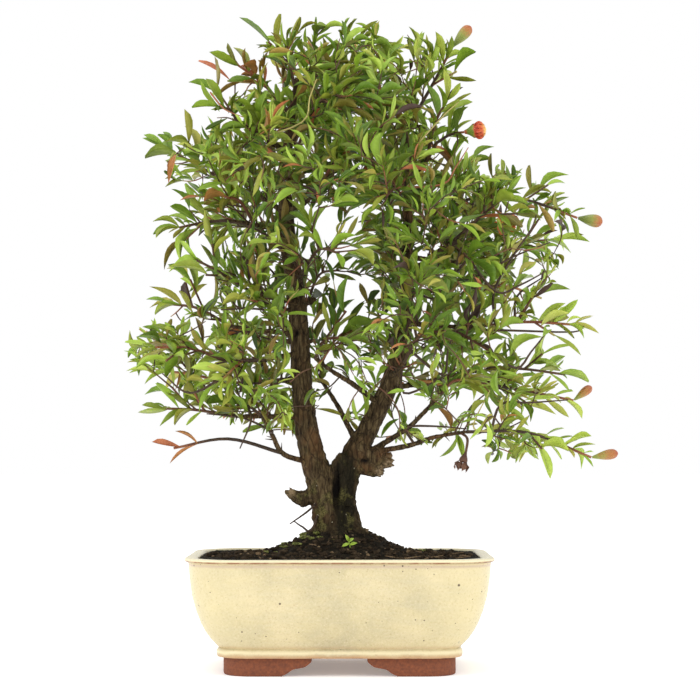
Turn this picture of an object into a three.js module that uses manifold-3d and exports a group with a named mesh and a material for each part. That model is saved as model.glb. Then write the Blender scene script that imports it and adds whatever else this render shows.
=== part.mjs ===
// A pomegranate bonsai in its glazed pot, in millimetres, +Z up, +Y away from the front.
// Places are given from the ground under the middle of the pot. The finished group is then moved so that its
// origin is on the ground under the middle of the whole outline.
import * as THREE from 'three';
import Module from 'manifold-3d';
import { mergeVertices } from 'three/addons/utils/BufferGeometryUtils.js';

const wasm = await Module();
wasm.setup();

// ---- Driving dimensions ----

const GAP = 0.3; // between pieces that touch

const POT = {
  halfWidth: 107.5,
  halfDepth: 80,
  height: 80.7,
  floorTop: 19,
  cornerRadius: 34,
  leastCornerRadius: 8,
  cornerTightening: 0.55, // corner radius lost for each millimetre of inset
  depthInset: 0.8, // the long walls lean in by this share of what the short ones do
  cornerSteps: 4,
};
// The pot's outer wall: how far it lies inside the rim, and at what height.
const POT_OUTSIDE = [
  [22.6, 12.3], [22.2, 16.2], [24, 17.3], [18.2, 24.4], [11.4, 35.5], [5, 55], [2.5, POT.height - 2.9],
  [0.2, POT.height - 2.1], [0, POT.height - 0.7], [0.9, POT.height],
];
// The inner wall in the same terms. It runs on above the rim, so that it cuts the top open.
const POT_INSIDE = [[33, POT.floorTop], [20.5, 29], [12.5, 46], [8.6, 75], [8, POT.height + 2]];
const FEET = { inset: 26.8, thickness: 13, top: 12.8, chamfer: 1, chamferHeight: 1.2 };
const CUT_PAST = 2; // how far a cutting body runs past what it cuts
// Half of a foot cut-out, seen from the front: from the middle of the arch down to the ground.
const ARCH = [[19, 14], [19.3, 10], [23.2, 6.4], [31.8, 4.9], [36, 1.9], [39.3, 0.5], [39.6, -2]];
const SIDE_ARCH_NARROWER = 14; // the cut-outs of the short sides are this much narrower each way
const DRAIN = { radius: 8.5, x: 40, sides: 14 };
const SCREEN = { side: 26, thickness: 1.2, openings: 3, opening: 5.2, pitch: 7.6 };

const SOIL = {
  edgeHeight: 79.4,
  moundHeight: 21.8,
  moundReach: 38,
  moundFlattening: 1.1,
  rings: 4,
  flatMiddle: 0.6,
};
// Two crossed waves make the soil's lumps: their height, and radians for each millimetre along X and Y.
const LUMPS = { height: 0.78, broad: [0.21, 0.26], shift: [1.3, -0.4], fine: [0.47, -0.39], fineShare: 0.5 };

const TRUNK = { sides: 8, rings: 11 };
const STUB = { sides: 6, rings: 3 };
// Ridges wind up the old wood. Their height is a share of its radius.
const BARK = { ridge: 0.07, broad: 3, broadTwist: 5, fine: 5, fineTwist: -9, fineShare: 0.6 };
const LIMB = { thick: 2.4, thin: 1.4, sides: 4, rings: 2 };
// A spray's main twig. It rises and sways by shares of its reach, and its last leaf ends at the spray's tip.
const MAIN_TWIG = {
  lastStart: 0.98, // how far along its wood a spray at the very end starts
  thick: 1.4,
  thin: 0.85,
  mostOfLimb: 0.85,
  sides: 4,
  rings: 2,
  rise: 0.07,
  sway: 0.05,
  lastLeaf: 0.62,
  mostShortened: 0.4,
};
// A spray's side twigs: their way is made up of some ahead, some outward and some up.
const SIDE_TWIG = {
  radius: 0.8,
  sides: 3,
  rings: 1,
  length: 17,
  lengthSpread: 11,
  ahead: 0.62,
  outward: 0.78,
  up: 0.14,
  attempts: 4,
  clearFrom: 0.12,
};
// How far along a spray its side twigs start, by the least number of leaves that it needs for them.
const SIDE_TWIG_PLACES = [[8, [0.6, 0.4]], [6, [0.5]], [0, []]];
const BLADE = { length: 25, width: 6.8, thickness: 0.7, widest: 0.45, arch: 0.09 };
// How leaves stand on a twig: lean is how far they turn outward, up and tilt how far they turn to the light.
const LEAF_STAND = {
  lastLean: 0.5,
  lean: 0.95,
  leanSpread: 0.25,
  up: 0.12,
  tilt: 0.55,
  tiltAhead: 0.25,
  size: 0.82,
  sizeSpread: 0.36,
  attempts: 9,
  smallerAfter: 5,
  smaller: 0.8,
  turnsAlong: 7,
};
// Places of leaves along the main twig and along a side twig, the best first.
const LAST_LEAF = { main: 0.93, side: 0.9 };
const LEAF_PLACES = [[0.78, 0.6], [0.62, 0.3], [0.46, 0.75], [0.3, 0.45]];
const CLEARANCE = 0.6; // least free space between a leaf and whatever its spray doesn't hold
const SPACE_CELL = 16;
const BALL_STEP = 2.5;
// Balls that stand for a blade: how far along it, and their radius as a share of its width.
const BLADE_BALLS = [[0.32, 0.34], [0.5, 0.44], [0.68, 0.34], [0.86, 0.18], [1, 0.06]];

// A bud's outline: share of its girth, and share of its length.
const BUD_OUTLINE = [[0, 0], [0.3, 0], [0.36, 0.14], [1, 0.42], [0.86, 0.68], [0, 1]];
const BUD = { sides: 8, gap: 0.6 };
// A petal's foot and size, as shares of its bud's length and girth.
const PETAL = { footRise: 0.6, footSpread: 0.55, lean: 0.75, length: 0.85, width: 1.1 };
const STALK = { thick: 1, thin: 0.9, sides: 4, rings: 3, intoFlower: 0.97 };
// Balls that keep leaves off a flower, as shares of its length and girth, and off the bend of its stalk.
const FLOWER_BALL = { girths: 1.2, half: 0.5, hanging: 0.7, bend: 4 };

const PAINT = {
  glaze: ['#ebe0bd', 0.35],
  mesh: ['#2f3230', 0.6],
  soil: ['#2b221d', 1],
  bark: ['#6e5443', 0.95],
  leaf: ['#6d9a2c', 0.55],
  youngLeaf: ['#b4573a', 0.55],
  bud: ['#dd6a35', 0.45],
  flower: ['#e4572a', 0.5],
  dryFlower: ['#4b2c1f', 0.9],
};

// ---- The tree's plan: hand-placed centre lines ----

const TRUNKS = {
  left: {
    points: [[-5, -1, 58], [-6, -1, 96], [-10, -2, 118], [-17, -3, 142], [-23, -3, 166], [-27, -1, 200],
      [-29, 2, 238], [-32, 4, 270], [-38, 6, 312], [-40, 3, 350], [-36, -3, 388], [-31, -6, 424]],
    radii: [14, 13.2, 11.6, 9.6, 8.2, 7.3, 7, 6.6, 6, 4.4, 3.1, 1.8],
  },
  right: {
    points: [[4, 1, 58], [4, 1, 96], [1, 2, 122], [9, 1, 149], [20, 0, 169], [35, -3, 200],
      [43, -1, 228], [48, 3, 262], [49, 4, 292], [49, 1, 334], [50, -3, 365], [46, -5, 390]],
    radii: [12, 12, 9.6, 9.4, 7.3, 6.4, 5.9, 5.1, 4.4, 3.3, 2.5, 1.8],
  },
};

// Sawn and broken stubs round the fork, and the roots that show above the soil.
const STUBS = [
  { points: [[-14, -2, 124], [-25, -6, 121], [-33, -10, 123], [-37, -11, 126]], radii: [7, 5.4, 4.2, 2.6] },
  { points: [[12, 1, 152], [24, -5, 149], [31, -8, 147], [37, -10, 146]], radii: [9, 7, 4.8, 3.2] },
  { points: [[10, 0, 146], [24, -4, 141], [31, -8, 139]], radii: [7, 5.4, 2.8] },
  { points: [[0, 0, 132], [0, -7, 144], [3, -9, 152]], radii: [8, 6, 4] },
  { points: [[-2, 0, 100], [16, -7, 94], [27, -12, 82]], radii: [9, 5.4, 3] },
  { points: [[-2, 0, 102], [-20, 9, 93], [-33, 15, 82]], radii: [9, 5.6, 3] },
  { points: [[0, 0, 98], [-2, -18, 92], [-8, -30, 84]], radii: [9, 5.6, 3] },
];

const LIMBS = {
  low_left: [[-20, -3, 146], [-40, -14, 152], [-48, -22, 166], [-55, -26, 179]],
  shelf_left: [[-25, -2, 178], [-56, -14, 179], [-78, -22, 179]],
  back_left: [[-28, 0, 206], [-57, 20, 205], [-83, 32, 204]],
  front_left: [[-28, 1, 225], [-55, -24, 219], [-80, -40, 217]],
  mid_left: [[-29, 2, 238], [-57, 14, 242], [-82, 24, 246]],
  upper_front_left: [[-31, 4, 262], [-49, -24, 263], [-66, -40, 268]],
  high_left: [[-38, 6, 313], [-61, -14, 316], [-81, -26, 318]],
  crown_back_left: [[-39, 6, 326], [-57, 24, 340], [-77, 40, 348]],
  crown_inner: [[-39, 5, 328], [-27, -8, 331], [-15, -24, 340]],
  crown_front_left: [[-38, 0, 370], [-55, -22, 378], [-73, -36, 387]],
  crown_back: [[-37, -1, 377], [-24, 22, 393], [-5, 40, 411]],
  rear_middle: [[-29, 3, 250], [-24, 42, 266]],
  rear_high_left: [[-35, 6, 297], [-51, 44, 309]],
  front_middle: [[-31, 4, 273], [-26, -36, 280]],
  crown_rear: [[-39, 2, 357], [-33, 38, 377]],
  crown_front: [[-38, -1, 372], [-28, -36, 381]],
  rear_low_left: [[-29, 2, 231], [-48, 48, 238]],
  fork_inner: [[13, 1, 158], [1, 10, 182], [-8, 18, 197], [-18, 26, 212]],
  fork_cross: [[28, -2, 188], [9, -18, 202], [-6, -28, 211], [-18, -34, 220]],
  low_right: [[15, 0, 150], [46, -12, 169], [60, -18, 182], [72, -22, 195]],
  bud_right: [[14, 0, 152], [48, -22, 158], [66, -32, 164], [90, -38, 168]],
  shelf_right: [[35, -2, 199], [66, 18, 205], [87, 30, 211]],
  rear_right: [[40, -1, 218], [53, 44, 228]],
  mid_right: [[46, 0, 247], [71, -20, 243], [97, -30, 242]],
  back_right: [[48, 3, 270], [72, 24, 271], [93, 40, 267]],
  high_right: [[49, 3, 280], [65, -18, 293], [82, -32, 304]],
  high_back_right: [[49, 4, 295], [77, 34, 294], [108, 50, 295]],
  crown_right: [[48, 3, 315], [73, 18, 329], [100, 28, 342]],
  crown_front_right: [[49, 0, 342], [60, -20, 358], [69, -32, 373]],
  rear_high: [[48, 4, 307], [40, 46, 323]],
  front_high: [[49, 0, 329], [39, -40, 336]],
  front_low_right: [[36, -3, 207], [45, -46, 216]],
};

// Each leafy spray: the wood that it grows from, how far along, its tip, its leaves and its tone.
const SPRAYS = [
  { from: 'low_left', at: 0.36, tip: [-133, -24, 157], leaves: 4, tone: 'youngLeaf', bare: 0.72 },
  { from: 'low_left', at: 1, tip: [-84, -40, 193], leaves: 6 },
  { from: 'shelf_left', at: 1, tip: [-138, -34, 186], leaves: 8 },
  { from: 'back_left', at: 1, tip: [-152, 50, 217], leaves: 6 },
  { from: 'front_left', at: 1, tip: [-142, -60, 229], leaves: 9 },
  { from: 'front_left', at: 0.6, tip: [-86, -84, 199], leaves: 6 },
  { from: 'mid_left', at: 1, tip: [-140, 38, 268], leaves: 8 },
  { from: 'upper_front_left', at: 1, tip: [-112, -60, 294], leaves: 8 },
  { from: 'upper_front_left', at: 0.55, tip: [-58, -88, 254], leaves: 6 },
  { from: 'high_left', at: 1, tip: [-128, -38, 309], leaves: 6 },
  { from: 'high_left', at: 0.5, tip: [-88, -60, 338], leaves: 6 },
  { from: 'crown_back_left', at: 1, tip: [-144, 60, 389], leaves: 6 },
  { from: 'crown_back_left', at: 0.5, tip: [-94, 66, 384], leaves: 6 },
  { from: 'crown_inner', at: 1, tip: [12, -52, 378], leaves: 6 },
  { from: 'crown_front_left', at: 1, tip: [-92, -54, 401], leaves: 6 },
  { from: 'crown_front_left', at: 0.5, tip: [-68, -72, 364], leaves: 6 },
  { from: 'left_trunk', at: 1, tip: [-41, -8, 462], leaves: 6 },
  { from: 'left_trunk', at: 0.93, tip: [-86, -20, 442], leaves: 6, tone: 'youngLeaf' },
  { from: 'crown_back', at: 1, tip: [34, 50, 466], leaves: 6 },
  { from: 'crown_back', at: 0.55, tip: [-12, 22, 456], leaves: 6 },
  { from: 'rear_middle', at: 1, tip: [4, 108, 300], leaves: 6 },
  { from: 'rear_high_left', at: 1, tip: [-90, 112, 334], leaves: 6 },
  { from: 'front_middle', at: 1, tip: [6, -106, 290], leaves: 6 },
  { from: 'crown_rear', at: 1, tip: [-8, 98, 428], leaves: 6 },
  { from: 'crown_front', at: 1, tip: [8, -94, 402], leaves: 6 },
  { from: 'rear_low_left', at: 1, tip: [-98, 116, 240], leaves: 6 },
  { from: 'fork_inner', at: 1, tip: [16, 40, 258], leaves: 6 },
  { from: 'fork_cross', at: 1, tip: [6, -76, 238], leaves: 6 },
  { from: 'low_right', at: 1, tip: [102, -28, 212], leaves: 6 },
  { from: 'bud_right', at: 1, tip: [174, -54, 150], leaves: 6, flower: 'bud_lowest' },
  { from: 'shelf_right', at: 1, tip: [182, 46, 211], leaves: 8 },
  { from: 'shelf_right', at: 0.6, tip: [170, 16, 191], leaves: 6, flower: 'bud_low_right' },
  { from: 'rear_right', at: 1, tip: [98, 112, 238], leaves: 6 },
  { from: 'mid_right', at: 1, tip: [180, -42, 243], leaves: 8 },
  { from: 'mid_right', at: 0.5, tip: [114, -76, 216], leaves: 6 },
  { from: 'back_right', at: 1, tip: [166, 72, 270], leaves: 8 },
  { from: 'high_right', at: 1, tip: [126, -56, 340], leaves: 6 },
  { from: 'high_right', at: 0.5, tip: [98, -82, 282], leaves: 6 },
  { from: 'high_back_right', at: 1, tip: [180, 66, 318], leaves: 6 },
  { from: 'crown_right', at: 1, tip: [174, 20, 325], leaves: 6, flower: 'bud_right_end' },
  { from: 'crown_right', at: 0.5, tip: [108, 48, 382], leaves: 6 },
  { from: 'crown_front_right', at: 1, tip: [87, -44, 378], leaves: 5, flower: 'bud_crown' },
  { from: 'crown_front_right', at: 0.6, tip: [80, -48, 414], leaves: 6 },
  { from: 'right_trunk', at: 1, tip: [81, -12, 445], leaves: 6, flower: 'bud_top' },
  { from: 'right_trunk', at: 0.93, tip: [16, 6, 430], leaves: 6 },
  { from: 'rear_high', at: 1, tip: [40, 112, 368], leaves: 6 },
  { from: 'front_high', at: 1, tip: [30, -98, 326], leaves: 6 },
  { from: 'front_low_right', at: 1, tip: [78, -108, 240], leaves: 6 },
];

// Flowers that stand at the end of a spray's twig, by the name that the spray gives.
const END_FLOWERS = {
  bud_top: { toward: [0.66, -0.1, 0.74], length: 18, girth: 5.2 },
  bud_crown: { toward: [1, -0.2, 0.1], length: 15, girth: 5.4, petals: 5 },
  bud_right_end: { toward: [0.95, 0, -0.16], length: 18, girth: 5.6 },
  bud_low_right: { toward: [0.78, 0, 0.6], length: 14, girth: 4.2 },
  bud_lowest: { toward: [0.97, 0, 0.16], length: 18, girth: 3.9 },
};
// Flowers that hang from a limb by a stalk of their own.
const HANGING_FLOWERS = [
  { name: 'flower_hidden', limb: 'crown_right', at: 0.8, bend: [110, 20, 333], base: [117, 17, 328],
    toward: [0.35, -0.6, -0.72], length: 13, girth: 4.6, petals: 6, paint: 'flower' },
  { name: 'flower_withered', limb: 'bud_right', at: 0.93, bend: [89, -43, 163], base: [88, -44, 154],
    toward: [-0.3, -0.05, -0.95], length: 13, girth: 3, petals: 4, paint: 'dryFlower' },
];

// ---- Small tools ----

const UP = new THREE.Vector3(0, 0, 1);

const vector = (place) => new THREE.Vector3(...place);

// A repeatable draw from 0 to 1, fixed by the two or three whole numbers given.
function draw(first, second, third = 0) {
  const wave = Math.sin(first * 12.9898 + second * 78.233 + third * 37.719) * 43758.5453;
  return wave - Math.floor(wave);
}

// The part of a direction that is square to an axis, as a unit vector.
function squareTo(direction, axis) {
  return direction.clone().addScaledVector(axis, -direction.dot(axis)).normalize();
}

// A unit vector square to the axis, turned round it by an angle.
function roundAbout(axis, angle) {
  const reference = Math.abs(axis.z) > 0.8 ? new THREE.Vector3(1, 0, 0) : UP;
  const first = squareTo(reference, axis);
  const second = new THREE.Vector3().crossVectors(axis, first);
  return first.multiplyScalar(Math.cos(angle)).addScaledVector(second, Math.sin(angle));
}

// A closed geometry as a solid that can be joined and cut.
function toSolid(geometry) {
  const bare = new THREE.BufferGeometry();
  bare.setAttribute('position', geometry.getAttribute('position'));
  bare.setIndex(geometry.getIndex());
  const welded = mergeVertices(bare, 1e-4);
  return new wasm.Manifold(
    new wasm.Mesh({
      numProp: 3,
      vertProperties: new Float32Array(welded.getAttribute('position').array),
      triVerts: new Uint32Array(welded.getIndex().array),
    }),
  );
}

// A solid as a geometry that a mesh can show.
function toGeometry(solid) {
  const mesh = solid.getMesh();
  const geometry = new THREE.BufferGeometry();
  geometry.setAttribute('position', new THREE.BufferAttribute(mesh.vertProperties, 3));
  geometry.setIndex(new THREE.BufferAttribute(mesh.triVerts, 1));
  geometry.computeVertexNormals();
  return geometry;
}

const fuse = (solids) => solids.reduce((whole, piece) => whole.add(piece));

// The biggest of the bodies that a cut leaves, without its loose scraps.
function biggest(solid) {
  return solid.decompose().reduce((best, body) => (body.volume() > best.volume() ? body : best));
}

function makePart(name, solid, paint) {
  const [color, roughness] = PAINT[paint];
  const material = new THREE.MeshStandardMaterial({ color, roughness, metalness: 0 });
  const mesh = new THREE.Mesh(toGeometry(solid), material);
  mesh.name = name;
  return mesh;
}

// ---- Lofted bodies ----

// A closed body through rings of points, from the lowest up, each ring counter-clockwise from above.
function loft(rings) {
  const sides = rings[0].length;
  const places = rings.flat().flatMap((corner) => corner.toArray());
  const faces = [];
  for (let level = 0; level < rings.length - 1; level += 1) {
    for (let side = 0; side < sides; side += 1) {
      const here = level * sides + side;
      const next = level * sides + ((side + 1) % sides);
      faces.push(here, next, next + sides, here, next + sides, here + sides);
    }
  }
  for (const [level, turned] of [[0, true], [rings.length - 1, false]]) {
    const middle = places.length / 3;
    const centre = rings[level].reduce((sum, corner) => sum.add(corner), new THREE.Vector3());
    places.push(...centre.divideScalar(sides).toArray());
    for (let side = 0; side < sides; side += 1) {
      const here = level * sides + side;
      const next = level * sides + ((side + 1) % sides);
      faces.push(middle, ...(turned ? [next, here] : [here, next]));
    }
  }
  const geometry = new THREE.BufferGeometry();
  geometry.setAttribute('position', new THREE.Float32BufferAttribute(places, 3));
  geometry.setIndex(faces);
  return toSolid(geometry);
}

// A level rounded rectangle that lies the given inset inside the pot's rim.
function potRing(inset, height) {
  const radius = Math.max(POT.cornerRadius - POT.cornerTightening * inset, POT.leastCornerRadius);
  const reachX = POT.halfWidth - inset - radius;
  const reachY = POT.halfDepth - inset * POT.depthInset - radius;
  const ring = [];
  for (const [signX, signY, quarter] of [[1, 1, 0], [-1, 1, 1], [-1, -1, 2], [1, -1, 3]]) {
    for (let step = 0; step <= POT.cornerSteps; step += 1) {
      const angle = (quarter + step / POT.cornerSteps) * (Math.PI / 2);
      const x = signX * reachX + radius * Math.cos(angle);
      const y = signY * reachY + radius * Math.sin(angle);
      ring.push(new THREE.Vector3(x, y, height));
    }
  }
  return ring;
}

const potBody = (profile) => loft(profile.map(([inset, height]) => potRing(inset, height)));

// ---- The pot, its drain screens and the soil ----

// The cut-out between two feet, as a bar along Y that its arched section runs through.
function archCutter(narrower) {
  const right = ARCH.map(([x, z]) => [x - narrower, z]);
  const left = right.map(([x, z]) => [-x, z]).reverse();
  const section = new THREE.Shape([...right, ...left].map(([x, z]) => new THREE.Vector2(x, z)));
  const length = (POT.halfWidth + CUT_PAST) * 2;
  const bar = new THREE.ExtrudeGeometry(section, { depth: length, bevelEnabled: false });
  return bar.rotateX(Math.PI / 2).translate(0, length / 2, 0);
}

function makeFeet() {
  const sole = FEET.inset + FEET.chamfer;
  const inner = FEET.inset + FEET.thickness;
  const band = potBody([[sole, 0], [FEET.inset, FEET.chamferHeight], [FEET.inset, FEET.top]]);
  const within = potBody([[inner, -CUT_PAST], [inner, FEET.top + CUT_PAST]]);
  const along = toSolid(archCutter(0));
  const across = toSolid(archCutter(SIDE_ARCH_NARROWER).rotateZ(Math.PI / 2));
  return band.subtract(within).subtract(along).subtract(across);
}

function makePot() {
  const holes = [-1, 1].map((side) => {
    const hole = new THREE.CylinderGeometry(DRAIN.radius, DRAIN.radius, 3 * POT.floorTop, DRAIN.sides);
    return toSolid(hole.rotateX(Math.PI / 2).translate(side * DRAIN.x, 0, POT.floorTop));
  });
  const bowl = potBody(POT_OUTSIDE).subtract(potBody(POT_INSIDE));
  return bowl.subtract(holes[0]).subtract(holes[1]).add(makeFeet());
}

// A square of plastic mesh that keeps the soil in over a drain hole.
function makeScreen(side) {
  const height = POT.floorTop + GAP + SCREEN.thickness / 2;
  const sheet = new THREE.BoxGeometry(SCREEN.side, SCREEN.side, SCREEN.thickness);
  const offset = (SCREEN.openings - 1) / 2;
  let screen = toSolid(sheet.translate(side * DRAIN.x, 0, height));
  for (let row = 0; row < SCREEN.openings; row += 1) {
    for (let column = 0; column < SCREEN.openings; column += 1) {
      const opening = new THREE.BoxGeometry(SCREEN.opening, SCREEN.opening, 3 * SCREEN.thickness);
      const x = side * DRAIN.x + (column - offset) * SCREEN.pitch;
      screen = screen.subtract(toSolid(opening.translate(x, (row - offset) * SCREEN.pitch, height)));
    }
  }
  return screen;
}

// The height of the soil's lumpy top at a place.
function soilHeight(x, y) {
  const fromTrunk = Math.hypot(x, y * SOIL.moundFlattening) / SOIL.moundReach;
  const broad = Math.sin(x * LUMPS.broad[0] + LUMPS.shift[0]) * Math.cos(y * LUMPS.broad[1] + LUMPS.shift[1]);
  const fine = Math.sin(x * LUMPS.fine[0] + y * LUMPS.fine[1]);
  const mound = SOIL.moundHeight * Math.exp(-fromTrunk * fromTrunk);
  return SOIL.edgeHeight + mound + LUMPS.height * (broad + LUMPS.fineShare * fine);
}

function makeSoil(wood) {
  const clear = GAP * 4 / 3; // the walls lean, so a little more than the gap that is left across them
  const sides = POT_INSIDE.slice(0, -1).map(([inset, height]) => potRing(inset + clear, height + clear));
  const edge = potRing(POT_INSIDE.at(-2)[0] + clear, SOIL.edgeHeight);
  const top = [];
  for (let ring = 1; ring <= SOIL.rings; ring += 1) {
    const share = 1 - ring / (SOIL.rings + SOIL.flatMiddle);
    const places = edge.map(({ x, y }) => [x * share, y * share]);
    top.push(places.map(([x, y]) => new THREE.Vector3(x, y, soilHeight(x, y))));
  }
  const recesses = [-1, 1].map((side) => {
    const room = SCREEN.side + 2 * GAP;
    const recess = new THREE.BoxGeometry(room, room, 2 * (SCREEN.thickness + 2 * GAP));
    return toSolid(recess.translate(side * DRAIN.x, 0, POT.floorTop));
  });
  const mound = loft([...sides, edge, ...top]).subtract(recesses[0]).subtract(recesses[1]);
  return biggest(mound.subtract(wood));
}

// ---- Wood ----

// A centre line with a radius along it.
class Stem {
  constructor(points, radii, sides, rings) {
    this.curve = new THREE.CatmullRomCurve3(points.map(vector), false, 'catmullrom');
    this.radii = radii;
    this.sides = sides;
    this.rings = rings;
  }

  at(share) {
    return this.curve.getPoint(share);
  }

  // The middle of the faceted tube, which is straight from one ring to the next.
  inside(share) {
    const ring = Math.min(Math.floor(share * this.rings), this.rings - 1);
    return this.at(ring / this.rings).lerp(this.at((ring + 1) / this.rings), share * this.rings - ring);
  }

  direction(share) {
    const ahead = this.curve.getPoint(Math.min(share + 0.02, 1));
    return ahead.sub(this.curve.getPoint(Math.max(share - 0.02, 0))).normalize();
  }

  // A unit vector square to the stem, turned round it by an angle.
  around(share, angle) {
    const along = this.direction(share);
    const chord = this.at(1).sub(this.at(0)).normalize();
    const first = squareTo(Math.abs(chord.z) > 0.75 ? new THREE.Vector3(1, 0, 0) : UP, along);
    const second = new THREE.Vector3().crossVectors(first, along);
    return first.multiplyScalar(Math.cos(angle)).addScaledVector(second, Math.sin(angle));
  }

  // The way that one of the tube's flat sides looks.
  facing(share, side) {
    return this.around(share, Math.PI / 2 + ((2 * side + 1) * Math.PI) / this.sides);
  }

  radius(share) {
    const place = share * (this.radii.length - 1);
    const before = Math.min(Math.floor(place), this.radii.length - 2);
    return THREE.MathUtils.lerp(this.radii[before], this.radii[before + 1], place - before);
  }
}

// How far the bark's ridges stand out at an angle round the wood and a share of its length.
function barkWave(angle, share) {
  const broad = Math.cos(BARK.broad * angle + BARK.broadTwist * share);
  return broad + BARK.fineShare * Math.cos(BARK.fine * angle + BARK.fineTwist * share);
}

// A tapered tube along a stem: a cylinder of unit size whose points are moved onto the stem.
function tube(stem, grow = 0, ridge = 0) {
  const geometry = new THREE.CylinderGeometry(1, 1, 1, stem.sides, stem.rings);
  const places = geometry.getAttribute('position');
  for (let index = 0; index < places.count; index += 1) {
    const share = THREE.MathUtils.clamp(places.getY(index) + 0.5, 0, 1);
    const angle = Math.atan2(places.getZ(index), places.getX(index));
    const rim = Math.hypot(places.getX(index), places.getZ(index)) > 0.5 ? 1 : 0;
    const reach = rim * (stem.radius(share) * (1 + ridge * barkWave(angle, share)) + grow);
    const end = share === 0 ? -grow : share === 1 ? grow : 0;
    const place = stem.at(share).addScaledVector(stem.direction(share), end);
    place.addScaledVector(stem.around(share, angle), reach);
    places.setXYZ(index, place.x, place.y, place.z);
  }
  return toSolid(geometry);
}

const makeLimb = (points) => new Stem(points, [LIMB.thick, LIMB.thin], LIMB.sides, LIMB.rings);
const makeTrunk = ({ points, radii }) => new Stem(points, radii, TRUNK.sides, TRUNK.rings);
const LIMB_STEMS = Object.fromEntries(
  Object.entries(LIMBS).map(([name, points]) => [name, makeLimb(points)]),
);
const TRUNK_STEMS = Object.fromEntries(
  Object.entries(TRUNKS).map(([name, trunk]) => [`${name}_trunk`, makeTrunk(trunk)]),
);
const STUB_STEMS = STUBS.map(({ points, radii }) => new Stem(points, radii, STUB.sides, STUB.rings));
const WOOD_STEMS = { ...TRUNK_STEMS, ...LIMB_STEMS };

// All of the tree's old wood in one solid, made thicker all over by grow.
function makeWood(grow) {
  const ridged = [...Object.values(TRUNK_STEMS), ...STUB_STEMS];
  const thickWood = ridged.map((stem) => tube(stem, grow, BARK.ridge));
  const limbs = Object.values(LIMB_STEMS).map((stem) => tube(stem, grow));
  return fuse([...thickWood, ...limbs]);
}

// ---- Free space: balls stand for what is there, kept in a coarse grid ----

class Space {
  constructor(cell) {
    this.cell = cell;
    this.balls = new Map();
  }

  // The name of the cell that holds a place, or of one that lies some cells away from it.
  key(place, offset = [0, 0, 0]) {
    return place.toArray().map((along, axis) => Math.floor(along / this.cell) + offset[axis]).join();
  }

  add(ball) {
    const key = this.key(ball.place);
    if (!this.balls.has(key)) this.balls.set(key, []);
    this.balls.get(key).push(ball);
  }

  near(place) {
    const found = [];
    for (let x = -1; x <= 1; x += 1) {
      for (let y = -1; y <= 1; y += 1) {
        for (let z = -1; z <= 1; z += 1) {
          found.push(...(this.balls.get(this.key(place, [x, y, z])) ?? []));
        }
      }
    }
    return found;
  }

  // Adds the balls of one piece if all of them are clear, and says whether it did.
  takes(balls) {
    const clear = balls.every((ball) => this.isClear(ball));
    if (clear) balls.forEach((ball) => this.add(ball));
    return clear;
  }

  // A leaf may touch its own spray's wood.
  isClear(ball) {
    return this.near(ball.place).every((other) => {
      const own = other.owner === ball.owner;
      if (own && !(other.leaf && ball.leaf)) return true;
      const least = other.radius + ball.radius + (own ? 0 : CLEARANCE);
      return other.place.distanceTo(ball.place) > least;
    });
  }
}

function stemBalls(stem, owner, from = 0) {
  const steps = Math.ceil(stem.at(0).distanceTo(stem.at(1)) / BALL_STEP);
  const balls = [];
  for (let step = 0; step <= steps; step += 1) {
    const share = from + (1 - from) * (step / steps);
    balls.push({ place: stem.at(share), radius: stem.radius(share), owner, leaf: false });
  }
  return balls;
}

// ---- Blades ----

// Where a blade lies: its base, its direction, the way its upper face looks, and its size.
function makeBlade(base, along, face, length, width) {
  const upper = squareTo(face, along);
  return { base, along, upper, side: new THREE.Vector3().crossVectors(upper, along), length, width };
}

function bladePlace({ base, along, upper, side, length }, forward, sideways, lift) {
  const place = base.clone().addScaledVector(along, forward * length);
  return place.addScaledVector(side, sideways).addScaledVector(upper, lift);
}

function bladeBalls(blade, owner) {
  return BLADE_BALLS.map(([share, part]) => ({
    place: bladePlace(blade, share, 0, 0),
    radius: part * blade.width + BLADE.thickness / 2,
    owner,
    leaf: true,
  }));
}

// A leaf or petal: a thin blade with a pointed tip and stalk end, raised at its widest place.
function bladeSolid(blade) {
  const half = blade.width / 2;
  const arch = blade.length * BLADE.arch;
  const outline = [[0, 0, 0], [BLADE.widest, -half, arch], [1, 0, 0], [BLADE.widest, half, arch]];
  const places = [];
  for (const layer of [BLADE.thickness / 2, -BLADE.thickness / 2]) {
    for (const [forward, sideways, lift] of outline) {
      places.push(...bladePlace(blade, forward, sideways, lift + layer).toArray());
    }
  }
  const faces = [0, 1, 3, 1, 2, 3, 4, 7, 5, 5, 7, 6];
  for (let corner = 0; corner < 4; corner += 1) {
    const next = (corner + 1) % 4;
    faces.push(corner + 4, next + 4, next, corner + 4, next, corner);
  }
  const geometry = new THREE.BufferGeometry();
  geometry.setAttribute('position', new THREE.Float32BufferAttribute(places, 3));
  geometry.setIndex(faces);
  return toSolid(geometry);
}

// ---- Flowers ----

// A bud: a round body with a pointed end, standing on its base. An open flower has petals round that end.
function makeFlower({ base, toward, length, girth, petals = 0 }) {
  const axis = vector(toward).normalize();
  const corners = BUD_OUTLINE.map(([share, rise]) => new THREE.Vector2(share * girth, rise * length));
  const body = new THREE.LatheGeometry(corners, BUD.sides);
  const turn = new THREE.Quaternion().setFromUnitVectors(new THREE.Vector3(0, 1, 0), axis);
  const pieces = [toSolid(body.applyQuaternion(turn).translate(base.x, base.y, base.z))];
  for (let petal = 0; petal < petals; petal += 1) {
    const outward = roundAbout(axis, (petal * 2 * Math.PI) / petals);
    const foot = base.clone().addScaledVector(axis, length * PETAL.footRise);
    foot.addScaledVector(outward, girth * PETAL.footSpread);
    const along = axis.clone().addScaledVector(outward, PETAL.lean).normalize();
    pieces.push(bladeSolid(makeBlade(foot, along, outward, length * PETAL.length, girth * PETAL.width)));
  }
  return fuse(pieces);
}

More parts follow.
